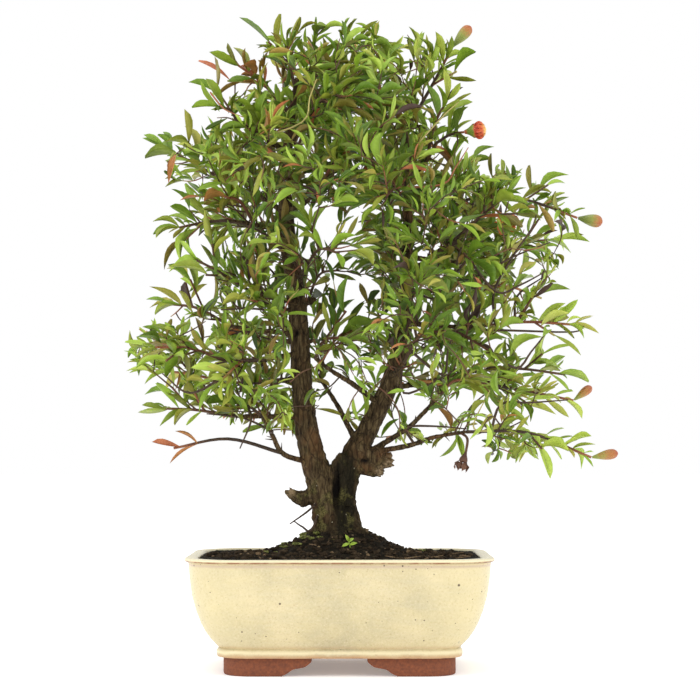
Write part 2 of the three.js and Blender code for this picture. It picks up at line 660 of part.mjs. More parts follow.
function makeHangingFlower(flower, woodAndGap) {
  const start = WOOD_STEMS[flower.limb].at(flower.at);
  const points = [start.toArray(), flower.bend, flower.base];
  const stalk = new Stem(points, [STALK.thick, STALK.thin], STALK.sides, STALK.rings);
  const head = makeFlower({ ...flower, base: stalk.at(STALK.intoFlower) });
  return biggest(tube(stalk).subtract(woodAndGap)).add(head);
}

// ---- Sprays ----

// The twig that runs the length of a spray. It stops short, so that the last leaf ends at the spray's tip.
function mainTwig(spray, number) {
  const wood = WOOD_STEMS[spray.from];
  const start = wood.at(Math.min(spray.at, MAIN_TWIG.lastStart));
  const tip = vector(spray.tip);
  const reach = tip.distanceTo(start);
  const shortened = Math.min((BLADE.length * MAIN_TWIG.lastLeaf) / reach, MAIN_TWIG.mostShortened);
  const end = spray.flower ? tip : tip.lerp(start, shortened);
  const along = end.clone().sub(start);
  const sway = roundAbout(along.clone().normalize(), draw(number, 1) * 2 * Math.PI);
  const middle = start.clone().lerp(end, 0.5).addScaledVector(UP, MAIN_TWIG.rise * reach);
  middle.addScaledVector(sway, MAIN_TWIG.sway * reach);
  const thick = Math.min(MAIN_TWIG.thick, wood.radius(spray.at) * MAIN_TWIG.mostOfLimb);
  const points = [start, middle, end].map((place) => place.toArray());
  return new Stem(points, [thick, MAIN_TWIG.thin], MAIN_TWIG.sides, MAIN_TWIG.rings);
}

// One of the short twigs at the sides of a spray, or nothing where there is no room for it.
function sideTwig(space, main, number, order, share) {
  const start = main.inside(share);
  const axis = main.direction(share);
  const length = SIDE_TWIG.length + SIDE_TWIG.lengthSpread * draw(number, order, 2);
  for (let attempt = 0; attempt < SIDE_TWIG.attempts; attempt += 1) {
    const outward = main.facing(share, number + order + attempt);
    const heading = axis.clone().multiplyScalar(SIDE_TWIG.ahead);
    heading.addScaledVector(outward, SIDE_TWIG.outward).addScaledVector(UP, SIDE_TWIG.up).normalize();
    const points = [start.toArray(), start.clone().addScaledVector(heading, length).toArray()];
    const stem = new Stem(points, [SIDE_TWIG.radius, SIDE_TWIG.radius], SIDE_TWIG.sides, SIDE_TWIG.rings);
    if (space.takes(stemBalls(stem, number, SIDE_TWIG.clearFrom))) return stem;
  }
  return null;
}

// Where a spray's leaves may grow, best places first: twig, share of its length, and order round it.
function leafSlots({ main, sides, bare, flower }) {
  const slots = flower ? [] : [{ twig: main, share: LAST_LEAF.main, last: true }];
  sides.forEach((twig) => slots.push({ twig, share: LAST_LEAF.side, last: true }));
  for (const opposite of [false, true]) {
    for (const [onMain, onSide] of LEAF_PLACES) {
      if (onMain > bare) slots.push({ twig: main, share: onMain, opposite });
      sides.forEach((twig) => slots.push({ twig, share: onSide, opposite }));
    }
  }
  return slots;
}

// One try at a leaf in a slot. Each attempt turns it further round its twig, and the last ones are smaller.
function tryLeaf({ twig, share, last, opposite }, number, order, attempt) {
  const axis = twig.direction(share);
  const across = opposite ? Math.floor(twig.sides / 2) : 0;
  const turn = Math.round(share * LEAF_STAND.turnsAlong);
  const outward = twig.facing(share, number + turn + across + attempt);
  const lean = last ? LEAF_STAND.lastLean : LEAF_STAND.lean + LEAF_STAND.leanSpread * draw(number, order, 3);
  const heading = axis.clone().addScaledVector(outward, lean).addScaledVector(UP, LEAF_STAND.up).normalize();
  const tilt = roundAbout(heading, 2 * Math.PI * draw(number, order, 4));
  const face = UP.clone().addScaledVector(tilt, LEAF_STAND.tilt).addScaledVector(axis, LEAF_STAND.tiltAhead);
  const cramped = attempt > LEAF_STAND.smallerAfter ? LEAF_STAND.smaller : 1;
  const size = (LEAF_STAND.size + LEAF_STAND.sizeSpread * draw(number, order, 5)) * cramped;
  return makeBlade(twig.inside(share), heading, face, BLADE.length * size, BLADE.width * size);
}

// A leaf at a slot, turned round its twig until it has room, or nothing.
function growLeaf(space, slot, number, order) {
  for (let attempt = 0; attempt < LEAF_STAND.attempts; attempt += 1) {
    const blade = tryLeaf(slot, number, order, attempt);
    if (space.takes(bladeBalls(blade, number))) return blade;
  }
  return null;
}

const midFlower = (base, { toward, length }) => base.addScaledVector(vector(toward).normalize(), length / 2);

// Balls for all the flowers, so that the leaves keep off them.
function flowerBalls(plans) {
  const balls = plans.filter(({ flower }) => flower).map(({ flower, main }) => {
    const { length, girth } = END_FLOWERS[flower];
    const radius = Math.max(length * FLOWER_BALL.half, girth * FLOWER_BALL.girths);
    return { place: midFlower(main.at(1), END_FLOWERS[flower]), radius };
  });
  for (const flower of HANGING_FLOWERS) {
    const radius = flower.length * FLOWER_BALL.hanging;
    balls.push({ place: midFlower(vector(flower.base), flower), radius });
    balls.push({ place: vector(flower.bend), radius: FLOWER_BALL.bend });
  }
  return balls.map((ball) => ({ ...ball, owner: 'flower', leaf: false }));
}

function growSides(space, { main, number, leaves }) {
  const [, shares] = SIDE_TWIG_PLACES.find(([least]) => leaves >= least);
  return shares.map((share, order) => sideTwig(space, main, number, order, share)).filter(Boolean);
}

function growLeaves(space, plan) {
  const blades = [];
  leafSlots(plan).forEach((slot, order) => {
    const blade = blades.length < plan.leaves ? growLeaf(space, slot, plan.number, order) : null;
    if (blade) blades.push(blade);
  });
  return blades;
}

// Lays out every spray's twigs first and then its leaves, so that no leaf crosses another spray.
function planSprays() {
  const space = new Space(SPACE_CELL);
  const plans = SPRAYS.map((spray, number) => ({ bare: 0, ...spray, number, main: mainTwig(spray, number) }));
  const oldWood = [...Object.values(WOOD_STEMS), ...STUB_STEMS];
  const taken = [
    ...oldWood.flatMap((stem) => stemBalls(stem, 'wood')),
    ...plans.flatMap(({ main, number }) => stemBalls(main, number)),
    ...flowerBalls(plans),
  ];
  taken.forEach((ball) => space.add(ball));
  for (const plan of plans) plan.sides = growSides(space, plan);
  for (const plan of plans) plan.blades = growLeaves(space, plan);
  return plans;
}

function makeSpray({ main, sides, blades }, woodAndGap) {
  const twigs = [main, ...sides].map((stem) => tube(stem));
  const grown = fuse([...twigs, ...blades.map(bladeSolid)]);
  return biggest(grown.subtract(woodAndGap));
}

// ---- The whole ----

// A spray's node name: its limb, and a letter where the limb carries more than one.
function sprayName({ from, number }) {
  const carried = (sprays) => sprays.filter((spray) => spray.from === from).length;
  const letter = carried(SPRAYS) > 1 ? `_${'ab'[carried(SPRAYS.slice(0, number))]}` : '';
  return `spray_${from}${letter}`;
}

function makeBonsai() {
  const bonsai = new THREE.Group();
  const wood = makeWood(0);
  const woodAndGap = makeWood(GAP);
  bonsai.add(makePart('pot', makePot(), 'glaze'));
  bonsai.add(makePart('drain_screen_left', makeScreen(-1), 'mesh'));
  bonsai.add(makePart('drain_screen_right', makeScreen(1), 'mesh'));
  bonsai.add(makePart('soil', makeSoil(woodAndGap), 'soil'));
  bonsai.add(makePart('trunk', wood, 'bark'));
  for (const plan of planSprays()) {
    bonsai.add(makePart(sprayName(plan), makeSpray(plan, woodAndGap), plan.tone ?? 'leaf'));
    if (!plan.flower) continue;
    const flower = END_FLOWERS[plan.flower];
    const base = plan.main.at(1).addScaledVector(vector(flower.toward).normalize(), BUD.gap);
    bonsai.add(makePart(plan.flower, makeFlower({ ...flower, base }), 'bud'));
  }
  for (const flower of HANGING_FLOWERS) {
    bonsai.add(makePart(flower.name, makeHangingFlower(flower, woodAndGap), flower.paint));
  }
  return bonsai;
}

// The origin: on the ground, under the middle of the whole outline.
function standOnOrigin(bonsai) {
  const middle = new THREE.Box3().setFromObject(bonsai, true).getCenter(new THREE.Vector3());
  bonsai.position.set(-middle.x, -middle.y, 0);
  return bonsai;
}

export default standOnOrigin(makeBonsai());
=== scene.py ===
"""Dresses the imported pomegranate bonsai: its pot, soil, old wood, leafy twigs and flowers.

Shapes are worked out in millimetres, from the ground under the middle of the pot, and every
finished mesh is then brought into the frame in metres.
"""

import logging
import math
from dataclasses import dataclass, field
from enum import Enum
from typing import Callable, Iterable, Optional, Sequence

import bmesh
import bpy
from mathutils import Matrix, Vector, noise
from mathutils.kdtree import KDTree


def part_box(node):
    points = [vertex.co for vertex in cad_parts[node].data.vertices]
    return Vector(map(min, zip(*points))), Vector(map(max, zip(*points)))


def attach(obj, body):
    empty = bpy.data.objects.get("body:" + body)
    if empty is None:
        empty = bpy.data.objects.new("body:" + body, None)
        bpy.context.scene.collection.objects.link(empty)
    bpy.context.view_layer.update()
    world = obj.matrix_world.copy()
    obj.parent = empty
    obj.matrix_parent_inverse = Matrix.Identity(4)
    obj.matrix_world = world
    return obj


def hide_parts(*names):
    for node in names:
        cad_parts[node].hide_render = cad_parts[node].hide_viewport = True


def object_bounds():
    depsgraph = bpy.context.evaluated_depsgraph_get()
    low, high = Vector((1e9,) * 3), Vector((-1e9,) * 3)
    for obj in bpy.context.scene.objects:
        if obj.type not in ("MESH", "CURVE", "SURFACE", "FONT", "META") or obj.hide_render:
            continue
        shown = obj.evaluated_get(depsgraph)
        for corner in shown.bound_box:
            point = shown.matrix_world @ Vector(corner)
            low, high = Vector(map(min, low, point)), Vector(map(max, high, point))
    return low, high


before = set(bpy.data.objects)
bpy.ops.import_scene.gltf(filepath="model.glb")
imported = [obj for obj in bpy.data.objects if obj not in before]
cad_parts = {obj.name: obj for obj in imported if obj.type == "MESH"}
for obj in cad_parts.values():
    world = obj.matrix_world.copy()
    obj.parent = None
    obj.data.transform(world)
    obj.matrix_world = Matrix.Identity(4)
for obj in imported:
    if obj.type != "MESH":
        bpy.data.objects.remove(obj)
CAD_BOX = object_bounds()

Shape = bmesh.types.BMesh
Mesh = bpy.types.Mesh
Piece = bpy.types.Object
Material = bpy.types.Material
Node = bpy.types.Node
Socket = bpy.types.NodeSocket
Tree = bpy.types.NodeTree
Triple = tuple[float, float, float]

logging.basicConfig(level=logging.INFO, format="%(message)s")
LOG = logging.getLogger("bonsai")

UP = Vector((0, 0, 1))
RIGHT = Vector((1, 0, 0))
FORTH = Vector((0, 1, 0))
BODY = "root"
MILLIMETRE = 0.001
NOISE_SEED = 7

# ---- The tree's plan, point by point as the solids have it ----

TRUNKS = {
    "left_trunk": (
        [(-5, -1, 58), (-6, -1, 96), (-10, -2, 118), (-17, -3, 142), (-23, -3, 166), (-27, -1, 200),
         (-29, 2, 238), (-32, 4, 270), (-38, 6, 312), (-40, 3, 350), (-36, -3, 388), (-31, -6, 424)],
        [14, 13.2, 11.6, 9.6, 8.2, 7.3, 7, 6.6, 6, 4.4, 3.1, 1.8],
    ),
    "right_trunk": (
        [(4, 1, 58), (4, 1, 96), (1, 2, 122), (9, 1, 149), (20, 0, 169), (35, -3, 200),
         (43, -1, 228), (48, 3, 262), (49, 4, 292), (49, 1, 334), (50, -3, 365), (46, -5, 390)],
        [12, 12, 9.6, 9.4, 7.3, 6.4, 5.9, 5.1, 4.4, 3.3, 2.5, 1.8],
    ),
}
STUBS = [
    ([(-14, -2, 124), (-25, -6, 121), (-33, -10, 123), (-37, -11, 126)], [7, 5.4, 4.2, 2.6]),
    ([(12, 1, 152), (24, -5, 149), (31, -8, 147), (37, -10, 146)], [9, 7, 4.8, 3.2]),
    ([(10, 0, 146), (24, -4, 141), (31, -8, 139)], [7, 5.4, 2.8]),
    ([(0, 0, 132), (0, -7, 144), (3, -9, 152)], [8, 6, 4]),
    ([(-2, 0, 100), (16, -7, 94), (27, -12, 82)], [9, 5.4, 3]),
    ([(-2, 0, 102), (-20, 9, 93), (-33, 15, 82)], [9, 5.6, 3]),
    ([(0, 0, 98), (-2, -18, 92), (-8, -30, 84)], [9, 5.6, 3]),
]
LIMBS = {
    "low_left": [(-20, -3, 146), (-40, -14, 152), (-48, -22, 166), (-55, -26, 179)],
    "shelf_left": [(-25, -2, 178), (-56, -14, 179), (-78, -22, 179)],
    "back_left": [(-28, 0, 206), (-57, 20, 205), (-83, 32, 204)],
    "front_left": [(-28, 1, 225), (-55, -24, 219), (-80, -40, 217)],
    "mid_left": [(-29, 2, 238), (-57, 14, 242), (-82, 24, 246)],
    "upper_front_left": [(-31, 4, 262), (-49, -24, 263), (-66, -40, 268)],
    "high_left": [(-38, 6, 313), (-61, -14, 316), (-81, -26, 318)],
    "crown_back_left": [(-39, 6, 326), (-57, 24, 340), (-77, 40, 348)],
    "crown_inner": [(-39, 5, 328), (-27, -8, 331), (-15, -24, 340)],
    "crown_front_left": [(-38, 0, 370), (-55, -22, 378), (-73, -36, 387)],
    "crown_back": [(-37, -1, 377), (-24, 22, 393), (-5, 40, 411)],
    "rear_middle": [(-29, 3, 250), (-24, 42, 266)],
    "rear_high_left": [(-35, 6, 297), (-51, 44, 309)],
    "front_middle": [(-31, 4, 273), (-26, -36, 280)],
    "crown_rear": [(-39, 2, 357), (-33, 38, 377)],
    "crown_front": [(-38, -1, 372), (-28, -36, 381)],
    "rear_low_left": [(-29, 2, 231), (-48, 48, 238)],
    "fork_inner": [(13, 1, 158), (1, 10, 182), (-8, 18, 197), (-18, 26, 212)],
    "fork_cross": [(28, -2, 188), (9, -18, 202), (-6, -28, 211), (-18, -34, 220)],
    "low_right": [(15, 0, 150), (46, -12, 169), (60, -18, 182), (72, -22, 195)],
    "bud_right": [(14, 0, 152), (48, -22, 158), (66, -32, 164), (90, -38, 168)],
    "shelf_right": [(35, -2, 199), (66, 18, 205), (87, 30, 211)],
    "rear_right": [(40, -1, 218), (53, 44, 228)],
    "mid_right": [(46, 0, 247), (71, -20, 243), (97, -30, 242)],
    "back_right": [(48, 3, 270), (72, 24, 271), (93, 40, 267)],
    "high_right": [(49, 3, 280), (65, -18, 293), (82, -32, 304)],
    "high_back_right": [(49, 4, 295), (77, 34, 294), (108, 50, 295)],
    "crown_right": [(48, 3, 315), (73, 18, 329), (100, 28, 342)],
    "crown_front_right": [(49, 0, 342), (60, -20, 358), (69, -32, 373)],
    "rear_high": [(48, 4, 307), (40, 46, 323)],
    "front_high": [(49, 0, 329), (39, -40, 336)],
    "front_low_right": [(36, -3, 207), (45, -46, 216)],
}


@dataclass(frozen=True)
class Spray:
    """One leafy spray of the plan: the wood it grows from, how far along, its tip and its leaves."""

    wood: str
    at: float
    tip: Triple
    leaves: int
    young: bool = False
    bare: float = 0.0
    flower: str = ""


SPRAYS = [
    Spray("low_left", 0.36, (-133, -24, 157), 4, young=True, bare=0.72),
    Spray("low_left", 1, (-84, -40, 193), 6),
    Spray("shelf_left", 1, (-138, -34, 186), 8),
    Spray("back_left", 1, (-152, 50, 217), 6),
    Spray("front_left", 1, (-142, -60, 229), 9),
    Spray("front_left", 0.6, (-86, -84, 199), 6),
    Spray("mid_left", 1, (-140, 38, 268), 8),
    Spray("upper_front_left", 1, (-112, -60, 294), 8),
    Spray("upper_front_left", 0.55, (-58, -88, 254), 6),
    Spray("high_left", 1, (-128, -38, 309), 6),
    Spray("high_left", 0.5, (-88, -60, 338), 6),
    Spray("crown_back_left", 1, (-144, 60, 389), 6),
    Spray("crown_back_left", 0.5, (-94, 66, 384), 6),
    Spray("crown_inner", 1, (12, -52, 378), 6),
    Spray("crown_front_left", 1, (-92, -54, 401), 6),
    Spray("crown_front_left", 0.5, (-68, -72, 364), 6),
    Spray("left_trunk", 1, (-41, -8, 462), 6),
    Spray("left_trunk", 0.93, (-86, -20, 442), 6, young=True),
    Spray("crown_back", 1, (34, 50, 466), 6),
    Spray("crown_back", 0.55, (-12, 22, 456), 6),
    Spray("rear_middle", 1, (4, 108, 300), 6),
    Spray("rear_high_left", 1, (-90, 112, 334), 6),
    Spray("front_middle", 1, (6, -106, 290), 6),
    Spray("crown_rear", 1, (-8, 98, 428), 6),
    Spray("crown_front", 1, (8, -94, 402), 6),
    Spray("rear_low_left", 1, (-98, 116, 240), 6),
    Spray("fork_inner", 1, (16, 40, 258), 6),
    Spray("fork_cross", 1, (6, -76, 238), 6),
    Spray("low_right", 1, (102, -28, 212), 6),
    Spray("bud_right", 1, (174, -54, 150), 6, flower="bud_lowest"),
    Spray("shelf_right", 1, (182, 46, 211), 8),
    Spray("shelf_right", 0.6, (170, 16, 191), 6, flower="bud_low_right"),
    Spray("rear_right", 1, (98, 112, 238), 6),
    Spray("mid_right", 1, (180, -42, 243), 8),
    Spray("mid_right", 0.5, (114, -76, 216), 6),
    Spray("back_right", 1, (166, 72, 270), 8),
    Spray("high_right", 1, (126, -56, 340), 6),
    Spray("high_right", 0.5, (98, -82, 282), 6),
    Spray("high_back_right", 1, (180, 66, 318), 6),
    Spray("crown_right", 1, (174, 20, 325), 6, flower="bud_right_end"),
    Spray("crown_right", 0.5, (108, 48, 382), 6),
    Spray("crown_front_right", 1, (87, -44, 378), 5, flower="bud_crown"),
    Spray("crown_front_right", 0.6, (80, -48, 414), 6),
    Spray("right_trunk", 1, (81, -12, 445), 6, flower="bud_top"),
    Spray("right_trunk", 0.93, (16, 6, 430), 6),
    Spray("rear_high", 1, (40, 112, 368), 6),
    Spray("front_high", 1, (30, -98, 326), 6),
    Spray("front_low_right", 1, (78, -108, 240), 6),
]


class Bloom(Enum):
    """How far a flower has come."""

    CLOSED = "closed"
    OPENING = "opening"
    OPEN = "open"
    WITHERED = "withered"


@dataclass(frozen=True)
class Flower:
    """A flower of the plan. One with a limb hangs from it by a stalk; the others end a spray."""

    node: str
    piece: str
    toward: Triple
    length: float
    girth: float
    bloom: Bloom = Bloom.CLOSED
    limb: str = ""
    at: float = 0.0
    bend: Triple = (0, 0, 0)
    base: Triple = (0, 0, 0)


FLOWERS = [
    Flower("bud_top", "top_bud", (0.66, -0.1, 0.74), 19, 3.9),
    Flower("bud_crown", "opening_crown_bud", (1, -0.2, 0.1), 15, 4.9, Bloom.OPENING),
    Flower("bud_right_end", "right_end_bud", (0.95, 0, -0.16), 18, 4.4),
    Flower("bud_low_right", "low_right_bud", (0.78, 0, 0.6), 16, 3),
    Flower("bud_lowest", "lowest_bud", (0.97, 0, 0.16), 18, 3.3),
    Flower("flower_hidden", "half_hidden_flower", (0.35, -0.6, -0.72), 13, 4.6, Bloom.OPEN,
           "crown_right", 0.8, (110, 20, 333), (117, 17, 328)),
    Flower("flower_withered", "hanging_dry_flower", (-0.3, -0.05, -0.95), 13, 3, Bloom.WITHERED,
           "bud_right", 0.93, (89, -43, 163), (88, -44, 154)),
]

EYE = Vector((7.2, -1400, 158))  # where one stands to look at the tree from the front

# How far the finer growth reaches to the left and to the right at each height, as one sees it
CROWN_REACHES = (
    (146, 100, 140), (158, 62, 156), (169, -72, 134), (184, -114, 140), (198, -120, 152), (213, -158, 152),
    (227, -160, 156), (241, -150, 160), (256, -122, 156), (270, -122, 160), (285, -94, 162), (299, -92, 158),
    (313, -106, 160), (328, -120, 168), (342, -122, 152), (352, -128, 138), (361, -130, 118),
    (371, -124, 88), (385, -101, 84),
    (400, -90, 76), (414, -72, 70), (429, -62, 68), (443, -62, 72), (454, -50, 66), (465, -32, 24),
)

# Parts of the crown that one sees as full: middle, height, half width, half height, layers of leaves
FULL_PARTS = (
    (-8, 404, 52, 38, 4.0), (-16, 366, 74, 26, 3.8), (74, 300, 46, 62, 1.95), (-66, 290, 30, 82, 1.35),
    (98, 206, 34, 20, 1.5), (-74, 208, 40, 22, 1.3), (-138, 226, 24, 14, 1.7), (-38, 190, 24, 20, 1.4),
    (122, 160, 20, 10, 1.5), (117, 355, 13, 10, 1.4), (151, 288, 14, 12, 1.7), (65, 450, 12, 12, 1.8),
    (-110, 351, 16, 14, 1.6), (30, 234, 18, 12, 1.5), (151, 198, 12, 8, 1.3), (128, 186, 14, 8, 1.4),
)

# Bare dry twigs: how far back they lie, and where one sees their bends, from the wood outwards
DRY_TWIGS = (
    (-14, (-22, 112), (-36, 102)), (-14, (-20, 98), (-27, 100), (-33, 104)),
    (-40, (50, 279), (64, 292), (83, 304)),
    (-64, (83, 283), (88, 302), (96, 322)), (-56, (100, 281), (124, 294), (152, 305)),
    (-50, (111, 269), (125, 295), (138, 314), (142, 325)), (-60, (113, 269), (130, 274), (149, 284)),
    (-48, (128, 266), (147, 280)), (-52, (50, 267), (66, 264), (86, 261)),
    (-36, (84, 242), (126, 241), (168, 240), (176, 244)), (-66, (74, 209), (78, 228), (86, 248)),
    (-58, (127, 214), (138, 226), (150, 241)),
    (-44, (46, 196), (66, 203), (88, 216)), (-40, (48, 171), (70, 172), (92, 170)),
    (-54, (116, 188), (136, 189), (164, 191)), (-40, (-50, 169), (-70, 178), (-96, 181)),
    (-52, (-64, 176), (-72, 156)), (-70, (-108, 196), (-128, 210)),
    (-16, (-43, 204), (-62, 203), (-108, 197)),
    (-16, (-44, 231), (-62, 238), (-90, 243)),
    (-60, (-54, 220), (-80, 219), (-102, 213)), (-58, (-44, 258), (-52, 268), (-64, 280)),
    (-50, (-72, 257), (-84, 271)), (-60, (-46, 256), (-66, 257), (-86, 256)), (-20, (-47, 281), (-62, 295)),
    (-46, (-62, 315), (-90, 321)),
)

# Young shoots, tan or red, laid out in the same way
YOUNG_SHOOTS = (
    (-58, (50, 368), (74, 396), (86, 407)), (-66, (74, 347), (84, 360), (93, 374)),
    (-70, (96, 172), (108, 198)),
    (-60, (-94, 414), (-84, 402), (-70, 396)), (-84, (-28, 392), (-22, 410), (-17, 424)),
)

# Gaps that one sees through the crown: place from left to right, height and radius
CLEARINGS = (
    (-11, 320, 13), (7, 270, 13), (-3, 286, 9), (0, 194, 15), (137, 236, 12), (94, 190, 9), (108, 228, 8),
    (-100, 272, 12), (-65, 256, 8), (50, 184, 12), (-14, 170, 16), (30, 176, 12), (60, 172, 8), (-6, 204, 9),
    (137, 284, 9), (122, 328, 8), (65, 227, 7), (94, 241, 7), (79, 184, 8), (-50, 429, 7), (65, 414, 7),
    (36, 457, 11), (-79, 328, 7), (74, 400, 7), (17, 186, 8), (72, 178, 7), (4, 166, 10), (-110, 294, 14),
    (-92, 414, 12), (-80, 424, 9), (120, 250, 9), (148, 258, 9), (86, 252, 7), (58, 248, 7), (-98, 240, 7),
    (-66, 232, 7), (106, 182, 8), (146, 170, 10), (166, 214, 8), (-122, 198, 9), (106, 358, 7),
    (80, 432, 8), (65, 168, 8), (22, 184, 7), (22, 270, 7), (-108, 386, 8), (-137, 372, 7), (-7, 444, 7),
    (79, 155, 8), (151, 227, 8), (137, 212, 8), (-137, 196, 7),
)

# Leaves of another colour: where one sees them, and their blush
ACCENTS = (
    (-35, 354, 0.44), (-14, 339, 0.46), (-82, 327, 0.42), (-115, 359, 0.4), (151, 330, 0.3), (149, 317, 0.3),
    (140, 327, 0.26), (83, 414, 0.9), (157, 158, 0.46), (-6, 350, 0.4), (-62, 300, 0.4), (-70, 280, 0.38),
    (120, 316, 0.46), (110, 322, 0.4), (92, 256, 0.95), (95, 252, 0.95), (98, 250, 0.9), (90, 249, 0.95),
    (94, 247, 0.9), (-118, 200, 0.36), (-128, 228, 0.4), (60, 236, 0.34), (-40, 448, 0.3),
)

# ---- Small tools ----


def draw(first: float, second: float, third: float = 0) -> float:
    """Gives a repeatable draw from 0 to 1.

    Args:
        first: The first number that fixes the draw.
        second: The second one.
        third: The third one.

    Returns:
        The draw.
    """
    wave = math.sin(first * 12.9898 + second * 78.233 + third * 37.719) * 43758.5453
    return wave - math.floor(wave)


def square_to(direction: Vector, axis: Vector) -> Vector:
    """Gives the part of a direction that is square to an axis, as a unit vector."""
    return (direction - axis * direction.dot(axis)).normalized()


def round_about(axis: Vector, angle: float) -> Vector:
    """Gives a unit vector square to the axis, turned round it by an angle."""
    first = square_to(RIGHT if abs(axis.z) > 0.8 else UP, axis)
    return first * math.cos(angle) + axis.cross(first) * math.sin(angle)


def clamp(value: float, low: float = 0.0, high: float = 1.0) -> float:
    """Keeps a value between two others."""
    return min(max(value, low), high)


def tree_of(places: Sequence[Vector]) -> KDTree:
    """Gives a search tree that holds places by their index.

    Args:
        places: The places.

    Returns:
        The tree.
    """
    tree = KDTree(len(places))
    for index, place in enumerate(places):
        tree.insert(place, index)
    tree.balance()
    return tree


class Stem:
    """A centre line with a radius along it."""

    def __init__(self, points: Iterable, radii: Sequence[float], sides: int, rings: int) -> None:
        """Takes the line's points.

        Args:
            points: The points that the line runs through.
            radii: Radii, evenly spaced from one end to the other.
            sides: Flat sides of the solid's tube.
            rings: Lengths of the solid's tube.
        """
        self.points = [Vector(point) for point in points]
        self.radii = list(radii)
        self.sides = sides
        self.rings = rings

    def at(self, share: float) -> Vector:
        """Gives the place at a share of the way along.

        Args:
            share: How far along, as a share of the length.

        Returns:
            The place.
        """
        points = self.points
        place = (len(points) - 1) * share
        index = min(int(place), len(points) - 2)
        weight = place - index
        here, after = points[index], points[index + 1]
        before = points[index - 1] if index > 0 else here * 2 - after
        beyond = points[index + 2] if index + 2 < len(points) else after * 2 - here
        leaving, arriving = (after - before) * 0.5, (beyond - here) * 0.5
        square, cube = weight * weight, weight * weight * weight
        return (
            here + leaving * weight
            + (here * -3 + after * 3 - leaving * 2 - arriving) * square
            + (here * 2 - after * 2 + leaving + arriving) * cube
        )

    def inside(self, share: float) -> Vector:
        """Gives the middle of the solid's faceted tube at a share of the way along."""
        ring = min(int(share * self.rings), self.rings - 1)
        start, end = self.at(ring / self.rings), self.at((ring + 1) / self.rings)
        return start.lerp(end, share * self.rings - ring)

    def direction(self, share: float) -> Vector:
        """Gives the way that the stem runs, as a unit vector."""
        return (self.at(min(share + 0.02, 1)) - self.at(max(share - 0.02, 0))).normalized()

    def around(self, share: float, angle: float) -> Vector:
        """Gives a unit vector square to the stem, turned round it by an angle.

        Args:
            share: How far along, as a share of the length.
            angle: How far round the stem.

        Returns:
            The vector.
        """
        along = self.direction(share)
        chord = (self.at(1) - self.at(0)).normalized()
        first = square_to(RIGHT if abs(chord.z) > 0.75 else UP, along)
        return first * math.cos(angle) + first.cross(along) * math.sin(angle)

    def facing(self, share: float, side: int) -> Vector:
        """Gives the way that one of the solid tube's flat sides looks."""
        return self.around(share, math.pi / 2 + (2 * side + 1) * math.pi / self.sides)

    def radius(self, share: float) -> float:
        """Gives the radius at a share of the way along."""
        place = share * (len(self.radii) - 1)
        index = min(int(place), len(self.radii) - 2)
        return self.radii[index] + (self.radii[index + 1] - self.radii[index]) * (place - index)

    def length(self) -> float:
        """Gives the length of the line through its points."""
        return sum((b - a).length for a, b in zip(self.points, self.points[1:]))


LIMB_RADII = (2.4, 1.4)
WOOD = {name: Stem(points, radii, 8, 11) for name, (points, radii) in TRUNKS.items()}
WOOD.update({name: Stem(points, LIMB_RADII, 4, 2) for name, points in LIMBS.items()})
STUB_STEMS = [Stem(points, radii, 6, 3) for points, radii in STUBS]

# ---- Free space ----


@dataclass
class Ball:
    """A ball that stands for a stretch of a stem or of a leaf."""

    place: Vector
    radius: float
    owner: object
    leaf: bool


class Space:
    """Balls for everything that has been placed, kept in a coarse grid."""

    CELL = 16
    CLEARANCE = 0.6

    def __init__(self) -> None:
        """Starts with nothing placed."""
        self.cells: dict[tuple[int, int, int], list[Ball]] = {}

    def key(self, place: Vector) -> tuple[int, int, int]:
        """Names the cell that holds a place."""
        return tuple(math.floor(along / self.CELL) for along in place)

    def add(self, balls: Iterable[Ball]) -> None:
        """Places balls."""
        for ball in balls:
            self.cells.setdefault(self.key(ball.place), []).append(ball)

    def near(self, place: Vector) -> Iterable[Ball]:
        """Gives the balls in the cells round a place.

        Args:
            place: The place.

        Returns:
            The balls, one by one.
        """
        x, y, z = self.key(place)
        for i in (x - 1, x, x + 1):
            for j in (y - 1, y, y + 1):
                for k in (z - 1, z, z + 1):
                    yield from self.cells.get((i, j, k), ())

    def is_clear(self, ball: Ball, clearance: float) -> bool:
        """Says whether a ball is clear. A leaf may touch its own spray's wood.

        Args:
            ball: The ball.
            clearance: Least free space to another's ball.

        Returns:
            Whether it is clear.
        """
        for other in self.near(ball.place):
            own = other.owner == ball.owner
            if own and not (other.leaf and ball.leaf):
                continue
            least = other.radius + ball.radius + (0 if own else clearance)
            if (other.place - ball.place).length_squared <= least * least:
                return False
        return True

    def takes(self, balls: list[Ball], clearance: float = CLEARANCE) -> bool:
        """Places the balls of one piece if all of them are clear.

        Args:
            balls: The balls of the piece.
            clearance: Least free space to what another spray holds.

        Returns:
            Whether they were placed.
        """
        clear = all(self.is_clear(ball, clearance) for ball in balls)
        if clear:
            self.add(balls)
        return clear


def stem_balls(stem: Stem, owner: object, start: float = 0.0) -> list[Ball]:
    """Gives the balls that stand for a stem, from a share of its length on."""
    steps = math.ceil((stem.at(1) - stem.at(0)).length / 2.5)
    shares = [start + (1 - start) * step / steps for step in range(steps + 1)]
    return [Ball(stem.at(share), stem.radius(share), owner, False) for share in shares]


